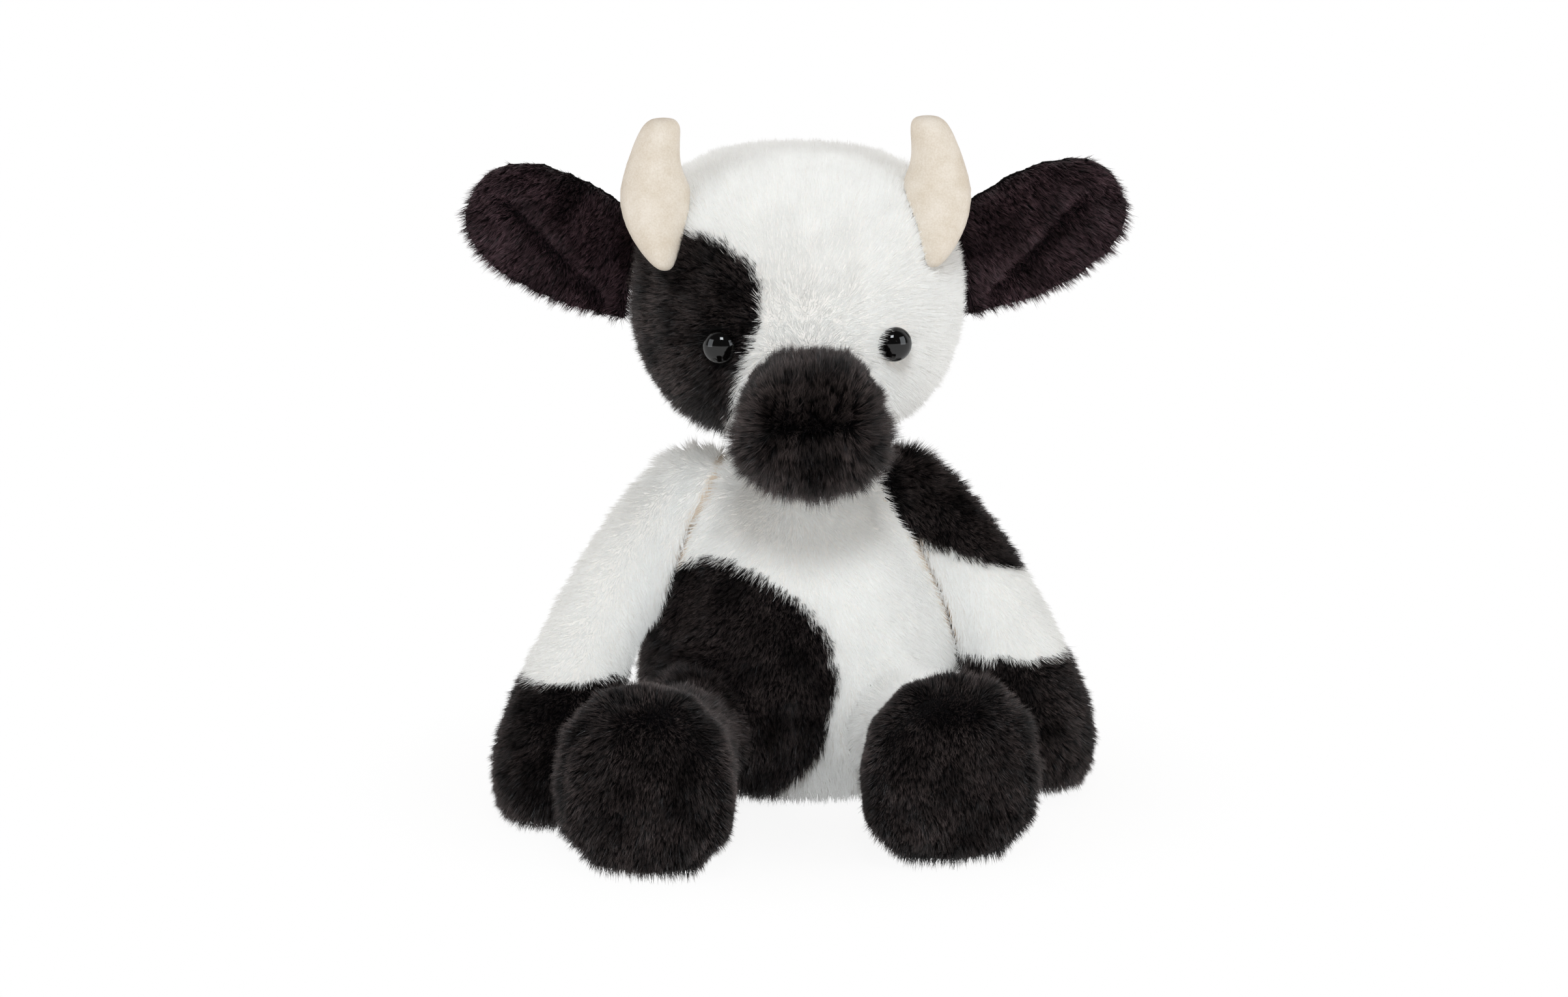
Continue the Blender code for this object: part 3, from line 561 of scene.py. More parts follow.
def mapped_strands(tree, real):
    """Moves each strand's map to its tone, across. Up, it still runs from root to tip."""
    own = add_node(
        tree, "GeometryNodeInputNamedAttribute", {0: "OFBake"}, data_type="FLOAT_VECTOR"
    )
    sides = add_node(tree, "ShaderNodeSeparateXYZ", {0: own.outputs[0]})
    tone = add_node(tree, "GeometryNodeInputNamedAttribute", {0: "tone"}, data_type="FLOAT")
    column = add_node(
        tree, "ShaderNodeMath", {0: tone.outputs[0], 1: 1 - COLUMN_SHARE}, operation="MULTIPLY"
    )
    across = add_node(
        tree, "ShaderNodeMath", {0: sides.outputs[0], 1: COLUMN_SHARE, 2: column.outputs[0]},
        operation="MULTIPLY_ADD",
    )
    place = add_node(
        tree, "ShaderNodeCombineXYZ", {0: across.outputs[0], 1: sides.outputs[1]}
    )
    mapped = add_node(
        tree, "GeometryNodeStoreNamedAttribute",
        {0: real, "Name": "OFBake", "Value": place.outputs[0]},
        data_type="FLOAT2", domain="CORNER",
    )
    return mapped.outputs[0]


def softened_strands(tree, grown):
    """Shades each strand as the cloth at its root."""
    shade = add_node(
        tree, "GeometryNodeInputNamedAttribute", {0: "cloth_normal"}, data_type="FLOAT_VECTOR"
    )
    softened = add_node(tree, "GeometryNodeSetMeshNormal", mode="FREE", domain="POINT")
    tree.links.new(grown, softened.inputs["Mesh"])
    tree.links.new(shade.outputs[0], softened.inputs["Custom Normal"])
    return softened.outputs[0]


# %% [markdown]
# The whole tree scatters points over the cloth, as thickly as the skin's share asks. It notes
# a tone and the cloth's direction at each, plants a turned and sized strand there, and makes the
# copies real.


# %% The pile as a node tree
def pile_tree(share, seed, pile, width, density, rise, swirl, tuft, gather, ragged, stray, soft):
    """The tree that grows one pile: metres, and strands to the square metre."""
    tree = bpy.data.node_groups.new("pile", "GeometryNodeTree")
    for way in ("INPUT", "OUTPUT"):
        tree.interface.new_socket("Geometry", in_out=way, socket_type="NodeSocketGeometry")
    cloth = add_node(tree, "NodeGroupInput")
    thick = add_node(
        tree, "GeometryNodeInputNamedAttribute", {0: share}, data_type="FLOAT"
    )
    thickly = add_node(
        tree, "ShaderNodeMath", {0: thick.outputs[0], 1: density}, operation="MULTIPLY"
    )
    scatter = add_node(
        tree, "GeometryNodeDistributePointsOnFaces",
        {"Mesh": cloth.outputs[0], "Density": thickly.outputs[0], "Seed": seed},
    )
    normal = scatter.outputs["Normal"]
    cells = add_node(tree, "ShaderNodeTexVoronoi", {"Scale": 1 / tuft})
    turned = strand_turns(tree, normal, cells, seed, rise, swirl, tuft, gather, stray)
    sized = strand_sizes(tree, cells, seed, pile, width, ragged)
    chance = add_node(tree, "FunctionNodeRandomValue", {8: seed + 5})
    toned = add_node(
        tree, "GeometryNodeStoreNamedAttribute",
        {0: scatter.outputs["Points"], "Name": "tone", "Value": chance.outputs[1]},
        data_type="FLOAT",
    )
    kept = add_node(
        tree, "GeometryNodeStoreNamedAttribute",
        {0: toned.outputs[0], "Name": "cloth_normal", "Value": normal},
        data_type="FLOAT_VECTOR",
    )
    spike = add_node(tree, "GeometryNodeObjectInfo", {"Object": strand})
    planted = add_node(
        tree, "GeometryNodeInstanceOnPoints",
        {"Points": kept.outputs[0], "Instance": spike.outputs["Geometry"],
         "Rotation": turned, "Scale": sized},
    )
    real = add_node(tree, "GeometryNodeRealizeInstances", {0: planted.outputs[0]})
    grown = mapped_strands(tree, real.outputs[0])
    if soft:
        grown = softened_strands(tree, grown)
    add_node(tree, "NodeGroupOutput", {0: grown})
    return tree


# %% [markdown]
# A pile grows on a copy of its skin, and the modifier is frozen, so that the fur is a plain mesh
# and a piece of its own. It could stay part of the skin, but the open pile is kept apart from the
# closed cloth under it. The largest piles are grown in two pieces, because one piece is to stay
# under 200,000 triangles.

# %% Growing a pile
USED_UP = ("tone", "cloth_normal", "nap", "loft", "white_share", "black_share", "dye", "seam")
grown_piles = {}


def grow(name, skin, body, share, fibre, slot, part=None, **pile):
    """Grows one pile on a skin, as a piece of its own that moves with the skin's body.

    Light gets through soft pile, so it casts no shadow. The skin under it does. Part is a
    depth and a side: the pile grows only in front of that depth, -1, or only behind it, 1.
    """
    fur = bpy.data.objects.new(name, skin.data.copy())
    bpy.context.scene.collection.objects.link(fur)
    if part is not None:
        depths = vectors_of(fur.data.vertices, "co")[:, 1] - part[0]
        values = np.empty(len(depths), np.float32)
        fur.data.attributes[share].data.foreach_get("value", values)
        fur.data.attributes[share].data.foreach_set("value", values * (depths * part[1] > 0))
    plant = fur.modifiers.new("pile", "NODES")
    plant.node_group = pile_tree(share, seed=10 * len(grown_piles) + 1, **pile)
    freeze(fur)
    for attribute in USED_UP:
        if attribute in fur.data.attributes:
            fur.data.attributes.remove(fur.data.attributes[attribute])
    fur.data.materials.clear()
    fur.data.materials.append(fibre)
    fur.visible_shadow = not pile["soft"]
    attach(fur, body)
    grown_piles[name] = len(fur.data.polygons) // len(strand.data.polygons)
    print(f"{name}: {grown_piles[name]} strands")


def grow_halves(name, skin, body, **pile):
    """Grows one pile in two equal pieces, one behind the other, so that neither is too big."""
    shares = np.empty(len(skin.data.vertices), np.float32)
    skin.data.attributes[pile["share"]].data.foreach_get("value", shares)
    depths = vectors_of(skin.data.vertices, "co")[:, 1]
    order = depths.argsort()
    middle = depths[order[shares[order].cumsum().searchsorted(shares.sum() / 2)]]
    grow(name + "_front", skin, body, part=(middle, -1), **pile)
    grow(name + "_back", skin, body, part=(middle, 1), **pile)


# %% [markdown]
# The toy has three kinds of plush. White plush is sparse and soft, and its tufts hardly show.
# Black plush is dense and short and stands in small tufts, and the ears have it in a dye of
# their own. The muzzle and the tail's tuft have the black fibre in a long, ragged pile.

# %% Kinds of plush
WHITE = dict(
    share="white_share", fibre=white_fibre, slot="plush_white", density=2.3e6, pile=5.7 * MM,
    width=0.4 * MM, rise=0.85, swirl=0.8, tuft=4 * MM, gather=0.3, ragged=0.1,
    stray=0.2, soft=True,
)
BLACK = dict(
    share="black_share", fibre=black_fibre, slot="plush_black", density=5.2e6, pile=5.2 * MM,
    width=0.26 * MM, rise=1.4, swirl=1.5, tuft=2.2 * MM, gather=0.5, ragged=0.25,
    stray=0.35, soft=False,
)
LONG = dict(
    BLACK, pile=8.2 * MM, density=7.4e6, rise=1.1, tuft=2.6 * MM, gather=0.65,
    ragged=0.4,
)

# %% [markdown]
# ## The head
#
# The head is a wide ball, sewn of panels, with a black one over its right half. Its nap runs
# from the nose up over the brow and back, and down the cheeks. The eye solids fill their own
# holes in the cloth, so that the pile can grow close up to the domes. Low on the cheeks it is
# longer, where the jowl hangs over the collar. The jowl could be stuffed fuller in the CAD
# instead, but it is the pile that stands out there.

# %% Head
BROW_RISE, BROW_HALF = 17 * MM, 16 * MM
JOWL_BAND, JOWL_LOFT = 15 * MM, 0.3


def middle_of(*solids):
    """The middle of the box round these solids."""
    corners = [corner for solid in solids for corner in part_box(solid)]
    low = Vector([min(corner[i] for corner in corners) for i in range(3)])
    high = Vector([max(corner[i] for corner in corners) for i in range(3)])
    return (low + high) / 2


def jowl_loft(points):
    """Longer pile on the lowest half band of the head, and none of that a band higher."""
    above = points[:, 2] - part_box("head")[0][2]
    return 1 + JOWL_LOFT * np.clip(1.5 - above / JOWL_BAND, 0, 1)


nose = middle_of("muzzle")
eyes = ("right_eye", "left_eye")
horns = ("right_horn", "left_horn")
ears = ("right_ear_back", "right_ear_lining", "left_ear_back", "left_ear_lining")
pads = ("muzzle", "chin")
head_skin = skin_of("head_skin", ("head", "face_patch"), filler=eyes, near=(*horns, *pads))
brow = nose + Vector((0, 0, BROW_RISE))
nap_skin(
    head_skin, away_from(brow, (0, 0.5, -0.1), BROW_HALF), ("face_patch",), ("head",),
    neighbours=("neck", *pads, *ears), room=1.3 * MM, hard=eyes, shaved=1.6 * MM,
    loft=jowl_loft,
)
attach(head_skin, "head_body")
grow_halves("white_head_pile", head_skin, "head_body", **WHITE)
grow("face_patch_pile", head_skin, "head_body", **BLACK)

# %% [markdown]
# The muzzle is two stuffed pads, and the mouth is the fold between them. Each could have its own
# cloth, but one over both closes the fold, as the stitches do. Its pile is the longest, and it
# stands away from the mouth all round. Towards the face and on the nose's upper corners it is
# shorter, so that the face isn't covered and the nose keeps its round top.

# %% Muzzle
MOUTH_AHEAD, MOUTH_DROP, MOUTH_HALF = 10 * MM, 10 * MM, 14 * MM
FULL_OFF_FACE = 14 * MM
CORNER_ASIDE, CORNER_DROP, CORNER_FADE, CORNER_SHORTER = 14 * MM, 4 * MM, 8 * MM, 0.6
face = ("head", "face_patch")
mouth = nose + Vector((0, -MOUTH_AHEAD, -MOUTH_DROP))
muzzle_skin = skin_of("muzzle_skin", pads, pitch=1.8 * MM, rounds=3, near=face)


def muzzle_loft(points):
    """The pile is shorter towards the face and on the upper corners of the nose."""
    from_face = 0.5 + 0.5 * np.clip(distances(points, face) / FULL_OFF_FACE, 0, 1)
    aside = np.clip((np.abs(points[:, 0] - nose.x) - CORNER_ASIDE) / CORNER_FADE, 0, 1)
    high = np.clip((points[:, 2] - nose.z + CORNER_DROP) / CORNER_FADE, 0, 1)
    return from_face * (1 - CORNER_SHORTER * aside * high)


nap_skin(
    muzzle_skin, away_from(mouth, (0, 0.5, 0), MOUTH_HALF), pads, neighbours=face,
    loft=muzzle_loft,
)
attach(muzzle_skin, "head_body")
grow("muzzle_pile", muzzle_skin, "head_body", **LONG)

# %% [markdown]
# ## Body and limbs
#
# The body is a pear of white plush with a black patch over its right front. Its nap hangs down
# from the collar, where nothing rubs the pile flat and it stands longer. Its cloth could be cut
# open where a limb starts, but it is left whole and comes right out to the limb instead, so that
# no hole opens when the limb moves. Thread shows only where an arm is sewn on.

# %% Torso
LIMB_SEAM_DEPTH = -0.4 * MM
COLLAR_AHEAD = 30 * MM
COLLAR_BELOW, COLLAR_FADE, COLLAR_LOFT = 22 * MM, 12 * MM, 0.4
trunk = ("torso", "belly_patch")
arms = ("right_arm", "left_arm", "shoulder_patch")
legs = ("right_leg", "left_leg")
torso_skin = skin_of("torso_skin", trunk, near=(*arms, *legs), seam_depth=LIMB_SEAM_DEPTH)
collar = middle_of("neck") + Vector((0, -COLLAR_AHEAD, 0))


def high_loft(points):
    """The pile stands longer round the collar, where nothing rubs it flat."""
    above = points[:, 2] - collar.z + COLLAR_BELOW
    return 1 + COLLAR_LOFT * np.clip(above / COLLAR_FADE, 0, 1)


nap_skin(
    torso_skin, away_from(collar, (0, 0, -0.6)), ("belly_patch",), ("torso",),
    neighbours=(*legs, "neck"), sewn=arms, loft=high_loft,
)
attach(torso_skin, "torso_body")
grow_halves("white_torso_pile", torso_skin, "torso_body", **WHITE)
grow("belly_patch_pile", torso_skin, "torso_body", **BLACK)

# %% [markdown]
# Arms and legs are tubes that are stuffed and closed by hand. One function dresses all four, as
# they differ only in their panels, nap, loft and thread. On an arm the nap runs down to the paw.
# On a foot it runs out from the middle of the sole, as on a sole cut in one piece, and the pile
# is pressed down a little inside the sole's edge, where the seam pulls.

# %% Arms and legs
SOLE_SEAM_OFF, SOLE_SEAM_HALF, SOLE_SEAM_PRESSED = 4.0 * MM, 1.0 * MM, 0.6
SOLE_CENTRE_RISE, SOLE_CENTRE_HALF = 16 * MM, 8 * MM


def dress_limb(label, white, black, nap, sewn=False, loft=high_loft):
    """A limb's skin and its piles. Sewn is a limb that shows its thread, as an arm does."""
    skin = skin_of(
        label + "_skin", (*white, *black), near=trunk, seam_depth=LIMB_SEAM_DEPTH
    )
    nap_skin(
        skin, nap, black, white, neighbours=() if sewn else trunk, sewn=trunk if sewn else (),
        loft=loft,
    )
    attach(skin, label + "_body")
    if white:
        grow(label + "_white_pile", skin, label + "_body", **WHITE)
    grow_halves(label + "_black_pile", skin, label + "_body", **BLACK)


def seam_loft(foot):
    """A foot's pile is pressed down a little inside the edge of its sole."""

    def loft(points):
        off = distances(points, (foot,)) - SOLE_SEAM_OFF
        return 1 - SOLE_SEAM_PRESSED * np.clip(1.5 - np.abs(off) / SOLE_SEAM_HALF, 0, 1)

    return loft


for side, word in ((-1, "right"), (1, "left")):
    shoulder = ("shoulder_patch",) if side > 0 else ()
    dress_limb(
        word + "_arm", (word + "_arm",), (word + "_paw", *shoulder),
        along(side * 0.5, -0.2, -1), sewn=True,
    )
    leg, foot = (word + "_leg",), (word + "_foot", word + "_foot_sole")
    white, black = (leg, foot) if side > 0 else ((), leg + foot)
    centre = middle_of(word + "_foot_sole") + Vector((0, 0, SOLE_CENTRE_RISE))
    dress_limb(
        word + "_leg", white, black, away_from(centre, (0, 0, -0.9), SOLE_CENTRE_HALF),
        loft=seam_loft(word + "_foot"),
    )

# %% [markdown]
# ## Ears and tail
#
# An ear is two leaves sewn round their edge, and it keeps the crease that it got when it was
# turned right side out. The crease runs across its front from near the tip down to the head. It
# could be cut into the CAD solid, but it is soft and shallow, so the cloth is pushed in here.

# %% Ears
CREASE_START_SHARES = (0.29, 0.75)
CREASE_END_SHARES = (0.78, 0.16)
CREASE_HALF, CREASE_DEPTH, CREASE_SHORTER = 5 * MM, 2.2 * MM, 0.5


def off_crease(points, side, lining):
    """How far each point is from the crease, seen from the front.

    The shares run from the ear's tip towards the head, and up from its lowest point.
    """
    low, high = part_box(lining)
    tip = high[0] if side > 0 else low[0]
    span = low[0] - high[0] if side > 0 else high[0] - low[0]
    ends = [
        np.array((tip + x * span, low[2] + z * (high[2] - low[2])))
        for x, z in (CREASE_START_SHARES, CREASE_END_SHARES)
    ]
    flat = points[:, [0, 2]]
    way = ends[1] - ends[0]
    foot = np.clip((flat - ends[0]) @ way / (way @ way), 0, 1)
    return np.linalg.norm(flat - ends[0] - foot[:, None] * way, axis=1)


for side, word in ((-1, "right"), (1, "left")):
    leaf = (word + "_ear_back", word + "_ear_lining")
    ear_skin = skin_of(word + "_ear_skin", leaf, depth=2.0 * MM, pitch=1.3 * MM, rounds=2)
    points = vectors_of(ear_skin.data.vertices, "co")
    front = vectors_of(ear_skin.data.vertex_normals, "vector")[:, 1] < 0
    fold = front * np.clip(1 - off_crease(points, side, leaf[1]) / CREASE_HALF, 0, 1)
    points[:, 1] += CREASE_DEPTH * fold
    ear_skin.data.vertices.foreach_set("co", points.astype(np.float32).ravel())
    nap_skin(
        ear_skin, along(side, 0, -0.7), leaf, loft=lambda points: 1 - CREASE_SHORTER * fold
    )
    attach(ear_skin, word + "_ear_body")
    grow(word + "_ear_pile", ear_skin, word + "_ear_body",
         **dict(BLACK, fibre=ear_fibre, slot="plush_ear", pile=5.6 * MM))

# %% [markdown]
# The tail is a thin white tube with a shaggy black tuft. Nothing of it is in the photograph, so
# it follows what such toys have. Its pile is short, because the tube is thin, and there is none
# at its root, where it is sewn in.

# %% Tail
tail_skin = skin_of("tail_skin", ("tail", "tail_tuft"), depth=2.6 * MM, pitch=1.6 * MM)
nap_skin(
    tail_skin, along(0, 1, -0.3), ("tail_tuft",), ("tail",), neighbours=("torso",),
    room=3.4 * MM,
)
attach(tail_skin, "tail_body")
grow("tail_pile", tail_skin, "tail_body", **dict(WHITE, pile=4.5 * MM))
grow("tail_tuft_pile", tail_skin, "tail_body", **LONG)

# %% [markdown]
# ## Neck and horns
#
# Two flat cloths are left. Cotton lining is a plain off-white weave, and faux suede has a matt
# nap with a fine grain, a little darker where it is pressed. A bump alone would give their
# grain, but not the rubbed patches, so two noises are mixed: a fine one for the grain and a
# broad one for the wear. A little sheen brightens their edges, as short fibre does. The real
# grain is finer than 0.7 mm, and is drawn that coarse so that it shows.


# %% Lining and suede
def matt_cloth(name, dark, pale, grain, patch, depth, sheen):
    """Matt cloth: a fine grain, and paler patches where it is rubbed."""
    material, tree, shader = new_material(
        name, Roughness=0.95, Sheen_Weight=sheen, Sheen_Roughness=0.5
    )
    place = add_node(tree, "ShaderNodeTexCoord")
    fine = add_node(
        tree, "ShaderNodeTexNoise",
        {0: place.outputs["Object"], "Scale": 1 / grain, "Detail": 3.0},
    )
    broad = add_node(
        tree, "ShaderNodeTexNoise",
        {0: place.outputs["Object"], "Scale": 1 / patch, "Detail": 2.0},
    )
    both = add_node(
        tree, "ShaderNodeMath", {0: fine.outputs[0], 1: broad.outputs[0]}, operation="ADD"
    )
    ramp = add_node(
        tree, "ShaderNodeMapRange", {0: both.outputs[0], 1: 2 * NOISE_LOW, 2: 2 * NOISE_HIGH}
    )
    shade = add_node(
        tree, "ShaderNodeMix", {0: ramp.outputs[0], 6: linear(dark), 7: linear(pale)},
        data_type="RGBA",
    )
    tree.links.new(shade.outputs[2], shader.inputs["Base Color"])
    bump = add_node(
        tree, "ShaderNodeBump",
        {"Height": fine.outputs[0], "Strength": 0.6, "Distance": depth},
    )
    tree.links.new(bump.outputs[0], shader.inputs["Normal"])
    return material


lining = matt_cloth(
    "cotton lining", "#dfd8cd", "#efeae2", grain=0.8 * MM, patch=9 * MM, depth=0.2 * MM,
    sheen=0.1,
)
suede = matt_cloth(
    "cream suede", "#ddd1bf", "#efe7db", grain=0.7 * MM, patch=8 * MM, depth=0.3 * MM,
    sheen=0.2,
)

# %% [markdown]
# The neck is a plug of lining between the head and the body, which closes the gap when the head
# nods. Bare lining would show as a flat ring from behind, so white plush grows on it as well. It
# is the last pile, so the strand that all of them copied is taken out of the scene after it.

# %% Neck
neck = skin_of("neck_plug", ("neck",), depth=1.5 * MM)
nap_skin(neck, along(0, 0.2, -1), white=("neck",))
grow("neck_pile", neck, "neck_body", **dict(WHITE, pile=5.0 * MM))
neck.data.materials.clear()
neck.data.materials.append(lining)
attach(neck, "neck_body")
bpy.data.objects.remove(strand)
print("strands in all:", sum(grown_piles.values()))

# %% [markdown]
# A horn is a small cone of suede, sewn, turned and stuffed hard. Its cloth is thin and has no
# pile, so it lies a little outside its solid and not inside.

# %% Horns
for word in ("right", "left"):
    horn = skin_of(word + "_horn_cover", (word + "_horn",), depth=-0.3 * MM, pitch=1.2 * MM)
    horn.data.materials.clear()
    horn.data.materials.append(suede)
    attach(horn, "head_body")

# %% [markdown]
# ## Eyes
#
# A safety eye is one moulded piece of black plastic, polished so that it mirrors the lamps: a
# dome with a rolled rim, on a shank that goes through the cloth to its washer. A ball would do
# from the front, but the dome is low and its rim shows from the side. So a profile is spun round
# the axis that the CAD eye and its washer share. The washer is moulded from natural nylon, a
# milky white, and stays as the CAD has it.

# %% Eyes
EYE_RADIUS, DOME_HEIGHT, RIM_SHARE = 7.0 * MM, 5.0 * MM, 0.96
RIM_DEPTH, BACK_DEPTH = 0.5 * MM, 0.9 * MM  # these depths are measured from the dome's edge
SHANK_RADIUS, SHANK_DEPTH, TIP_DEPTH = 2.1 * MM, 13.5 * MM, 14 * MM
DOME_RINGS, SPIN_STEPS = 14, 48


def eye_axis(word):
    """The eye's front and the way it looks, from its solid and its washer's."""
    eye = vectors_of(nodes[word + "_eye"].data.vertices, "co")
    washer = vectors_of(nodes[word + "_eye_washer"].data.vertices, "co")
    way = unit(eye.mean(0) - washer.mean(0))
    front = eye[(eye @ way).argmax()]
    return Vector(front), Vector(way)


def make_eye(word, material):
    """Spins one eye from its profile, from the dome's top to the shank's tip."""
    outline = [
        (EYE_RADIUS * math.sin(t), DOME_HEIGHT * (math.cos(t) - 1))
        for t in np.linspace(0, math.pi / 2, DOME_RINGS)
    ]
    outline += [
        (EYE_RADIUS * RIM_SHARE, -DOME_HEIGHT - RIM_DEPTH),
        (SHANK_RADIUS, -DOME_HEIGHT - BACK_DEPTH),
        (SHANK_RADIUS, -DOME_HEIGHT - SHANK_DEPTH),
        (0, -DOME_HEIGHT - TIP_DEPTH),
    ]
    bm = bmesh.new()
    line = [bm.verts.new((x, 0, z)) for x, z in outline]
    edges = [bm.edges.new(pair) for pair in zip(line, line[1:])]
    bmesh.ops.spin(
        bm, geom=line + edges, cent=(0, 0, 0), axis=(0, 0, 1), angle=math.tau,
        steps=SPIN_STEPS, use_merge=True, dvec=(0, 0, 0), use_duplicate=False,
    )
    bmesh.ops.remove_doubles(bm, verts=bm.verts, dist=0.001 * MM)
    bmesh.ops.recalc_face_normals(bm, faces=bm.faces)
    front, way = eye_axis(word)
    turn = Vector((0, 0, 1)).rotation_difference(way).to_matrix().to_4x4()
    bm.transform(Matrix.Translation(front) @ turn)
    eye = mesh_object(word + "_eye_dome", bm)
    eye.data.shade_smooth()
    eye.data.materials.append(material)
    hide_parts(word + "_eye")
    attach(eye, "head_body")
    print(f"{eye.name}: {len(eye.data.polygons)} faces")


eye_plastic = new_material(
    "polished black plastic", Base_Color=linear("#080707"), Roughness=0.05, IOR=1.49
)[0]
washer_nylon = new_material(
    "natural nylon", Base_Color=linear("#c9c7c0"), Roughness=0.45, IOR=1.53
)[0]
for word in ("right", "left"):
    make_eye(word, eye_plastic)
    nodes[word + "_eye_washer"].data.materials.clear()
    nodes[word + "_eye_washer"].data.materials.append(washer_nylon)

# %% [markdown]
# ## Floor, light and camera
#
# The photograph is a catalogue picture on white paper. The floor shows the toy's shadow only
# faintly, close to it, and fades to plain white further out. The light itself has to find real
# paper everywhere, so only a ray that looks at the floor sees plain white: from the camera, off
# something glossy or through glass.


# %% Floor
FLOOR_HALF = 6
FADE_FROM, FADE_TO = 0.06, 0.2  # metres from the toy's middle
NEAR_WHITE = 0.9  # the share of plain white beside the toy, and further out it is 1


def seen(tree):
    """1 for a ray that looks at the backdrop: from the camera, off a gloss or through glass."""
    paths = add_node(tree, "ShaderNodeLightPath")
    shiny = add_node(
        tree, "ShaderNodeMath",
        {0: paths.outputs["Is Glossy Ray"], 1: paths.outputs["Is Transmission Ray"]},
        operation="MAXIMUM",
    )
    both = add_node(
        tree, "ShaderNodeMath",
        {0: paths.outputs["Is Camera Ray"], 1: shiny.outputs[0]},
        operation="MAXIMUM",
    )
    return both.outputs[0]


def make_floor():
    """Matt white paper that looks plain white away from the toy."""
    bm = bmesh.new()
    bmesh.ops.create_grid(bm, x_segments=1, y_segments=1, size=FLOOR_HALF)
    floor = mesh_object("floor", bm)
    material, tree, shader = new_material(
        "studio paper", Base_Color=linear("#fbf9f7"), Roughness=0.9
    )
    place = add_node(tree, "ShaderNodeTexCoord")
    far = add_node(
        tree, "ShaderNodeVectorMath", {0: place.outputs["Object"]}, operation="LENGTH"
    )
    fade = add_node(
        tree, "ShaderNodeMapRange",
        {0: far.outputs["Value"], 1: FADE_FROM, 2: FADE_TO, 3: NEAR_WHITE},
        interpolation_type="SMOOTHSTEP",
    )
    amount = add_node(
        tree, "ShaderNodeMath", {0: fade.outputs[0], 1: seen(tree)}, operation="MULTIPLY"
    )
    white = add_node(tree, "ShaderNodeEmission", {0: linear("#ffffff"), 1: 1.0})
    mixed = add_node(
        tree, "ShaderNodeMixShader",
        {0: amount.outputs[0], 1: shader.outputs[0], 2: white.outputs[0]},
    )
    tree.links.new(mixed.outputs[0], tree.nodes["Material Output"].inputs[0])
    floor.data.materials.append(material)


make_floor()

# %% [markdown]
# A studio room is dim on the camera's side and bright behind the toy, where the backdrop is, and
# dimmer overhead. A picture of a studio could light the scene, but three ranges of the world's
# own directions do. What the eyes mirror is set apart: a dark room in front, so that each dome
# stays black but for the soft boxes in it.

# %% The room
ROOM_DIM, ROOM_BRIGHT, OVERHEAD_SHARE = 0.46, 0.8, 0.5
MIRRORED_DARK = 0.06


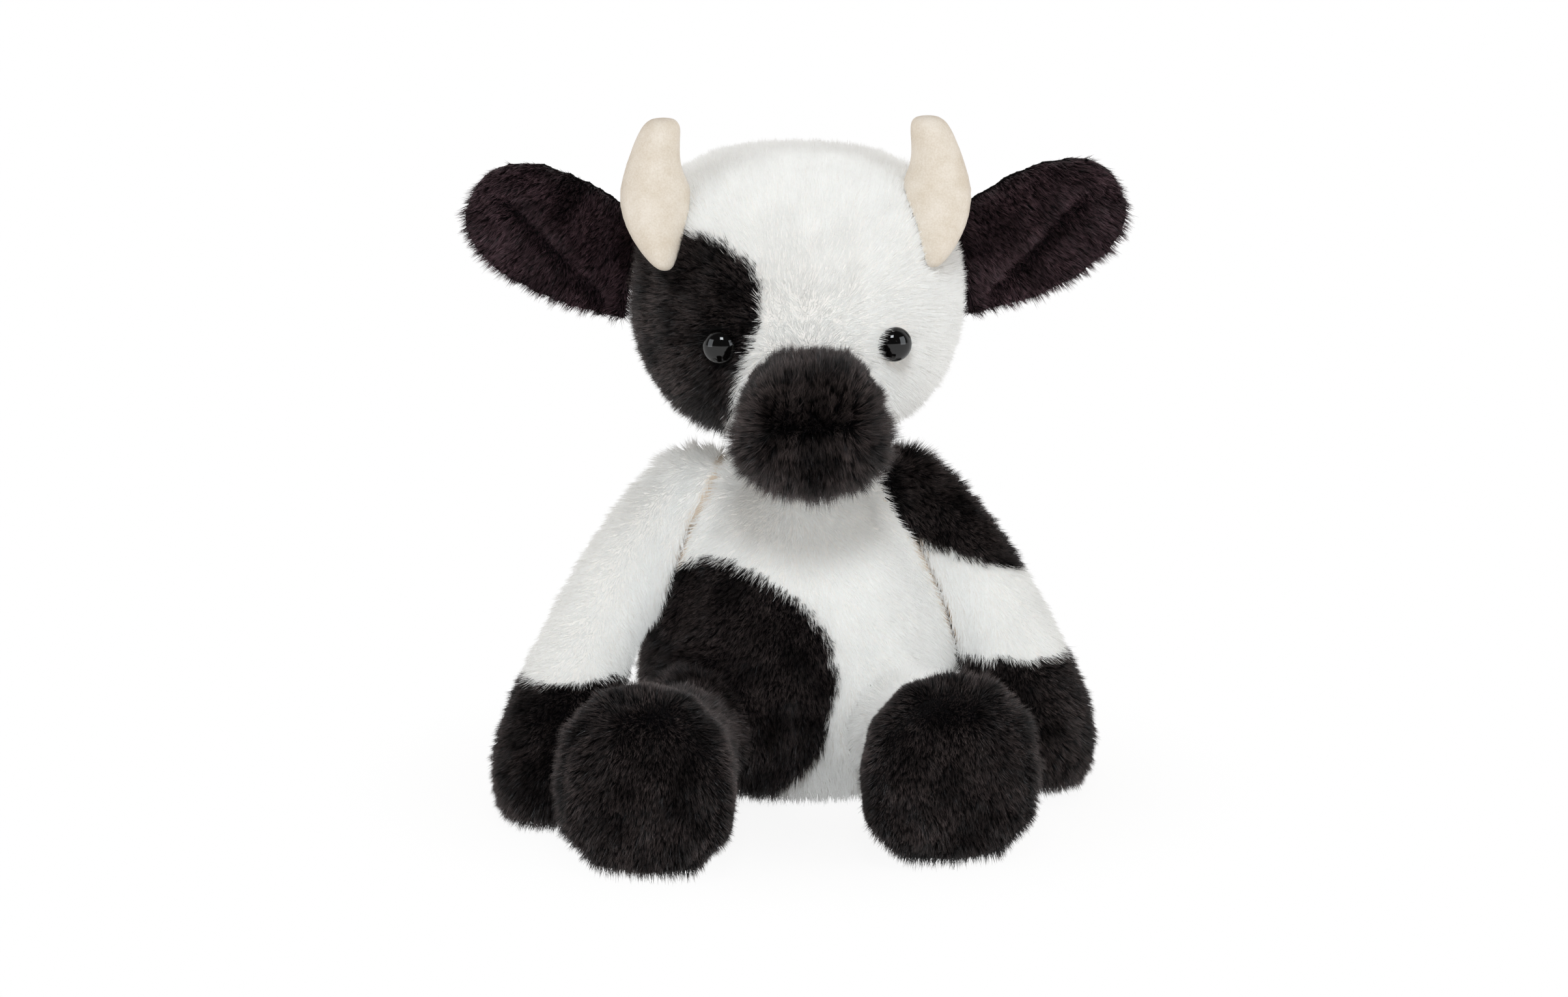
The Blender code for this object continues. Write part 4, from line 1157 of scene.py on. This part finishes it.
def light_room():
    """A white backdrop behind the toy and a dark room in front of it, as in a studio."""
    world = bpy.data.worlds.new("studio")
    world.use_nodes = True
    bpy.context.scene.world = world
    tree = world.node_tree
    tree.nodes.clear()
    paths = add_node(tree, "ShaderNodeLightPath")
    way = add_node(tree, "ShaderNodeTexCoord")
    parts = add_node(tree, "ShaderNodeSeparateXYZ", {0: way.outputs["Generated"]})
    depth = add_node(
        tree, "ShaderNodeMapRange",
        {0: parts.outputs[1], 1: -0.5, 2: 0.3, 3: ROOM_DIM, 4: ROOM_BRIGHT},
        interpolation_type="SMOOTHSTEP",
    )
    height = add_node(
        tree, "ShaderNodeMapRange",
        {0: parts.outputs[2], 1: 0.1, 2: 0.9, 3: 1.0, 4: OVERHEAD_SHARE},
    )
    strength = add_node(
        tree, "ShaderNodeMath", {0: depth.outputs[0], 1: height.outputs[0]},
        operation="MULTIPLY",
    )
    room = add_node(
        tree, "ShaderNodeBackground", {0: linear("#fff3e8"), 1: strength.outputs[0]}
    )
    behind = add_node(
        tree, "ShaderNodeMapRange",
        {0: parts.outputs[1], 1: -0.2, 2: 0.2, 3: MIRRORED_DARK, 4: 1.0},
        interpolation_type="SMOOTHSTEP",
    )
    brightness = add_node(
        tree, "ShaderNodeMath",
        {0: paths.outputs["Is Camera Ray"], 1: behind.outputs[0]},
        operation="MAXIMUM",
    )
    white = add_node(
        tree, "ShaderNodeBackground", {0: linear("#ffffff"), 1: brightness.outputs[0]}
    )
    mixed = add_node(
        tree, "ShaderNodeMixShader", {0: seen(tree), 1: room.outputs[0], 2: white.outputs[0]}
    )
    add_node(tree, "ShaderNodeOutputWorld", {0: mixed.outputs[0]})


light_room()

# %% [markdown]
# Three soft boxes light the toy: a small one high in front, which shapes the face and puts the
# light in the eyes, and a large one on each side. One sun would be simpler, but its hard
# shadows would show every strand.


# %% Soft boxes
def soft_box(name, place, aim, width, height, power):
    """A lamp behind a white cloth of this size, in metres and watts, turned to its aim."""
    lamp = bpy.data.lights.new(name, "AREA")
    lamp.shape = "RECTANGLE"
    lamp.size, lamp.size_y = width, height
    lamp.energy = power
    lamp.color = linear("#f4faff")[:3]
    box = bpy.data.objects.new(name, lamp)
    bpy.context.scene.collection.objects.link(box)
    box.location = place
    box.rotation_euler = (Vector(aim) - Vector(place)).to_track_quat("-Z", "Y").to_euler()
    print(f"{name}: {power} W")


middle = (0, -0.02, 0.14)
soft_box("front box", (0.03, -1.25, 1.25), middle, width=0.42, height=0.42, power=8.7)
soft_box("left box", (-1.5, -0.9, 0.5), middle, width=0.9, height=1.2, power=8.0)
soft_box("right box", (1.5, -0.9, 0.5), middle, width=0.9, height=1.2, power=9.5)

# %% [markdown]
# The photograph looks a little down on the toy with a long lens, from some way off: both soles
# are seen, and a little of the feet above them. A wide lens close by would frame the toy too, but
# would swell the feet and hide the body behind them.

# %% Camera
ELEVATION = math.radians(12)
DISTANCE = 1.6
aim = Vector((-0.0055, -0.060, 0.1308))
lens = bpy.data.cameras.new("camera")
lens.sensor_width = 36
lens.lens = 93.8
camera = bpy.data.objects.new("camera", lens)
bpy.context.scene.collection.objects.link(camera)
camera.location = aim + DISTANCE * Vector((0, -math.cos(ELEVATION), math.sin(ELEVATION)))
camera.rotation_euler = (math.pi / 2 - ELEVATION, 0, 0)
bpy.context.scene.camera = camera
bpy.context.scene.view_settings.view_transform = "Standard"
print("camera at, mm:", [round(x / MM) for x in camera.location])
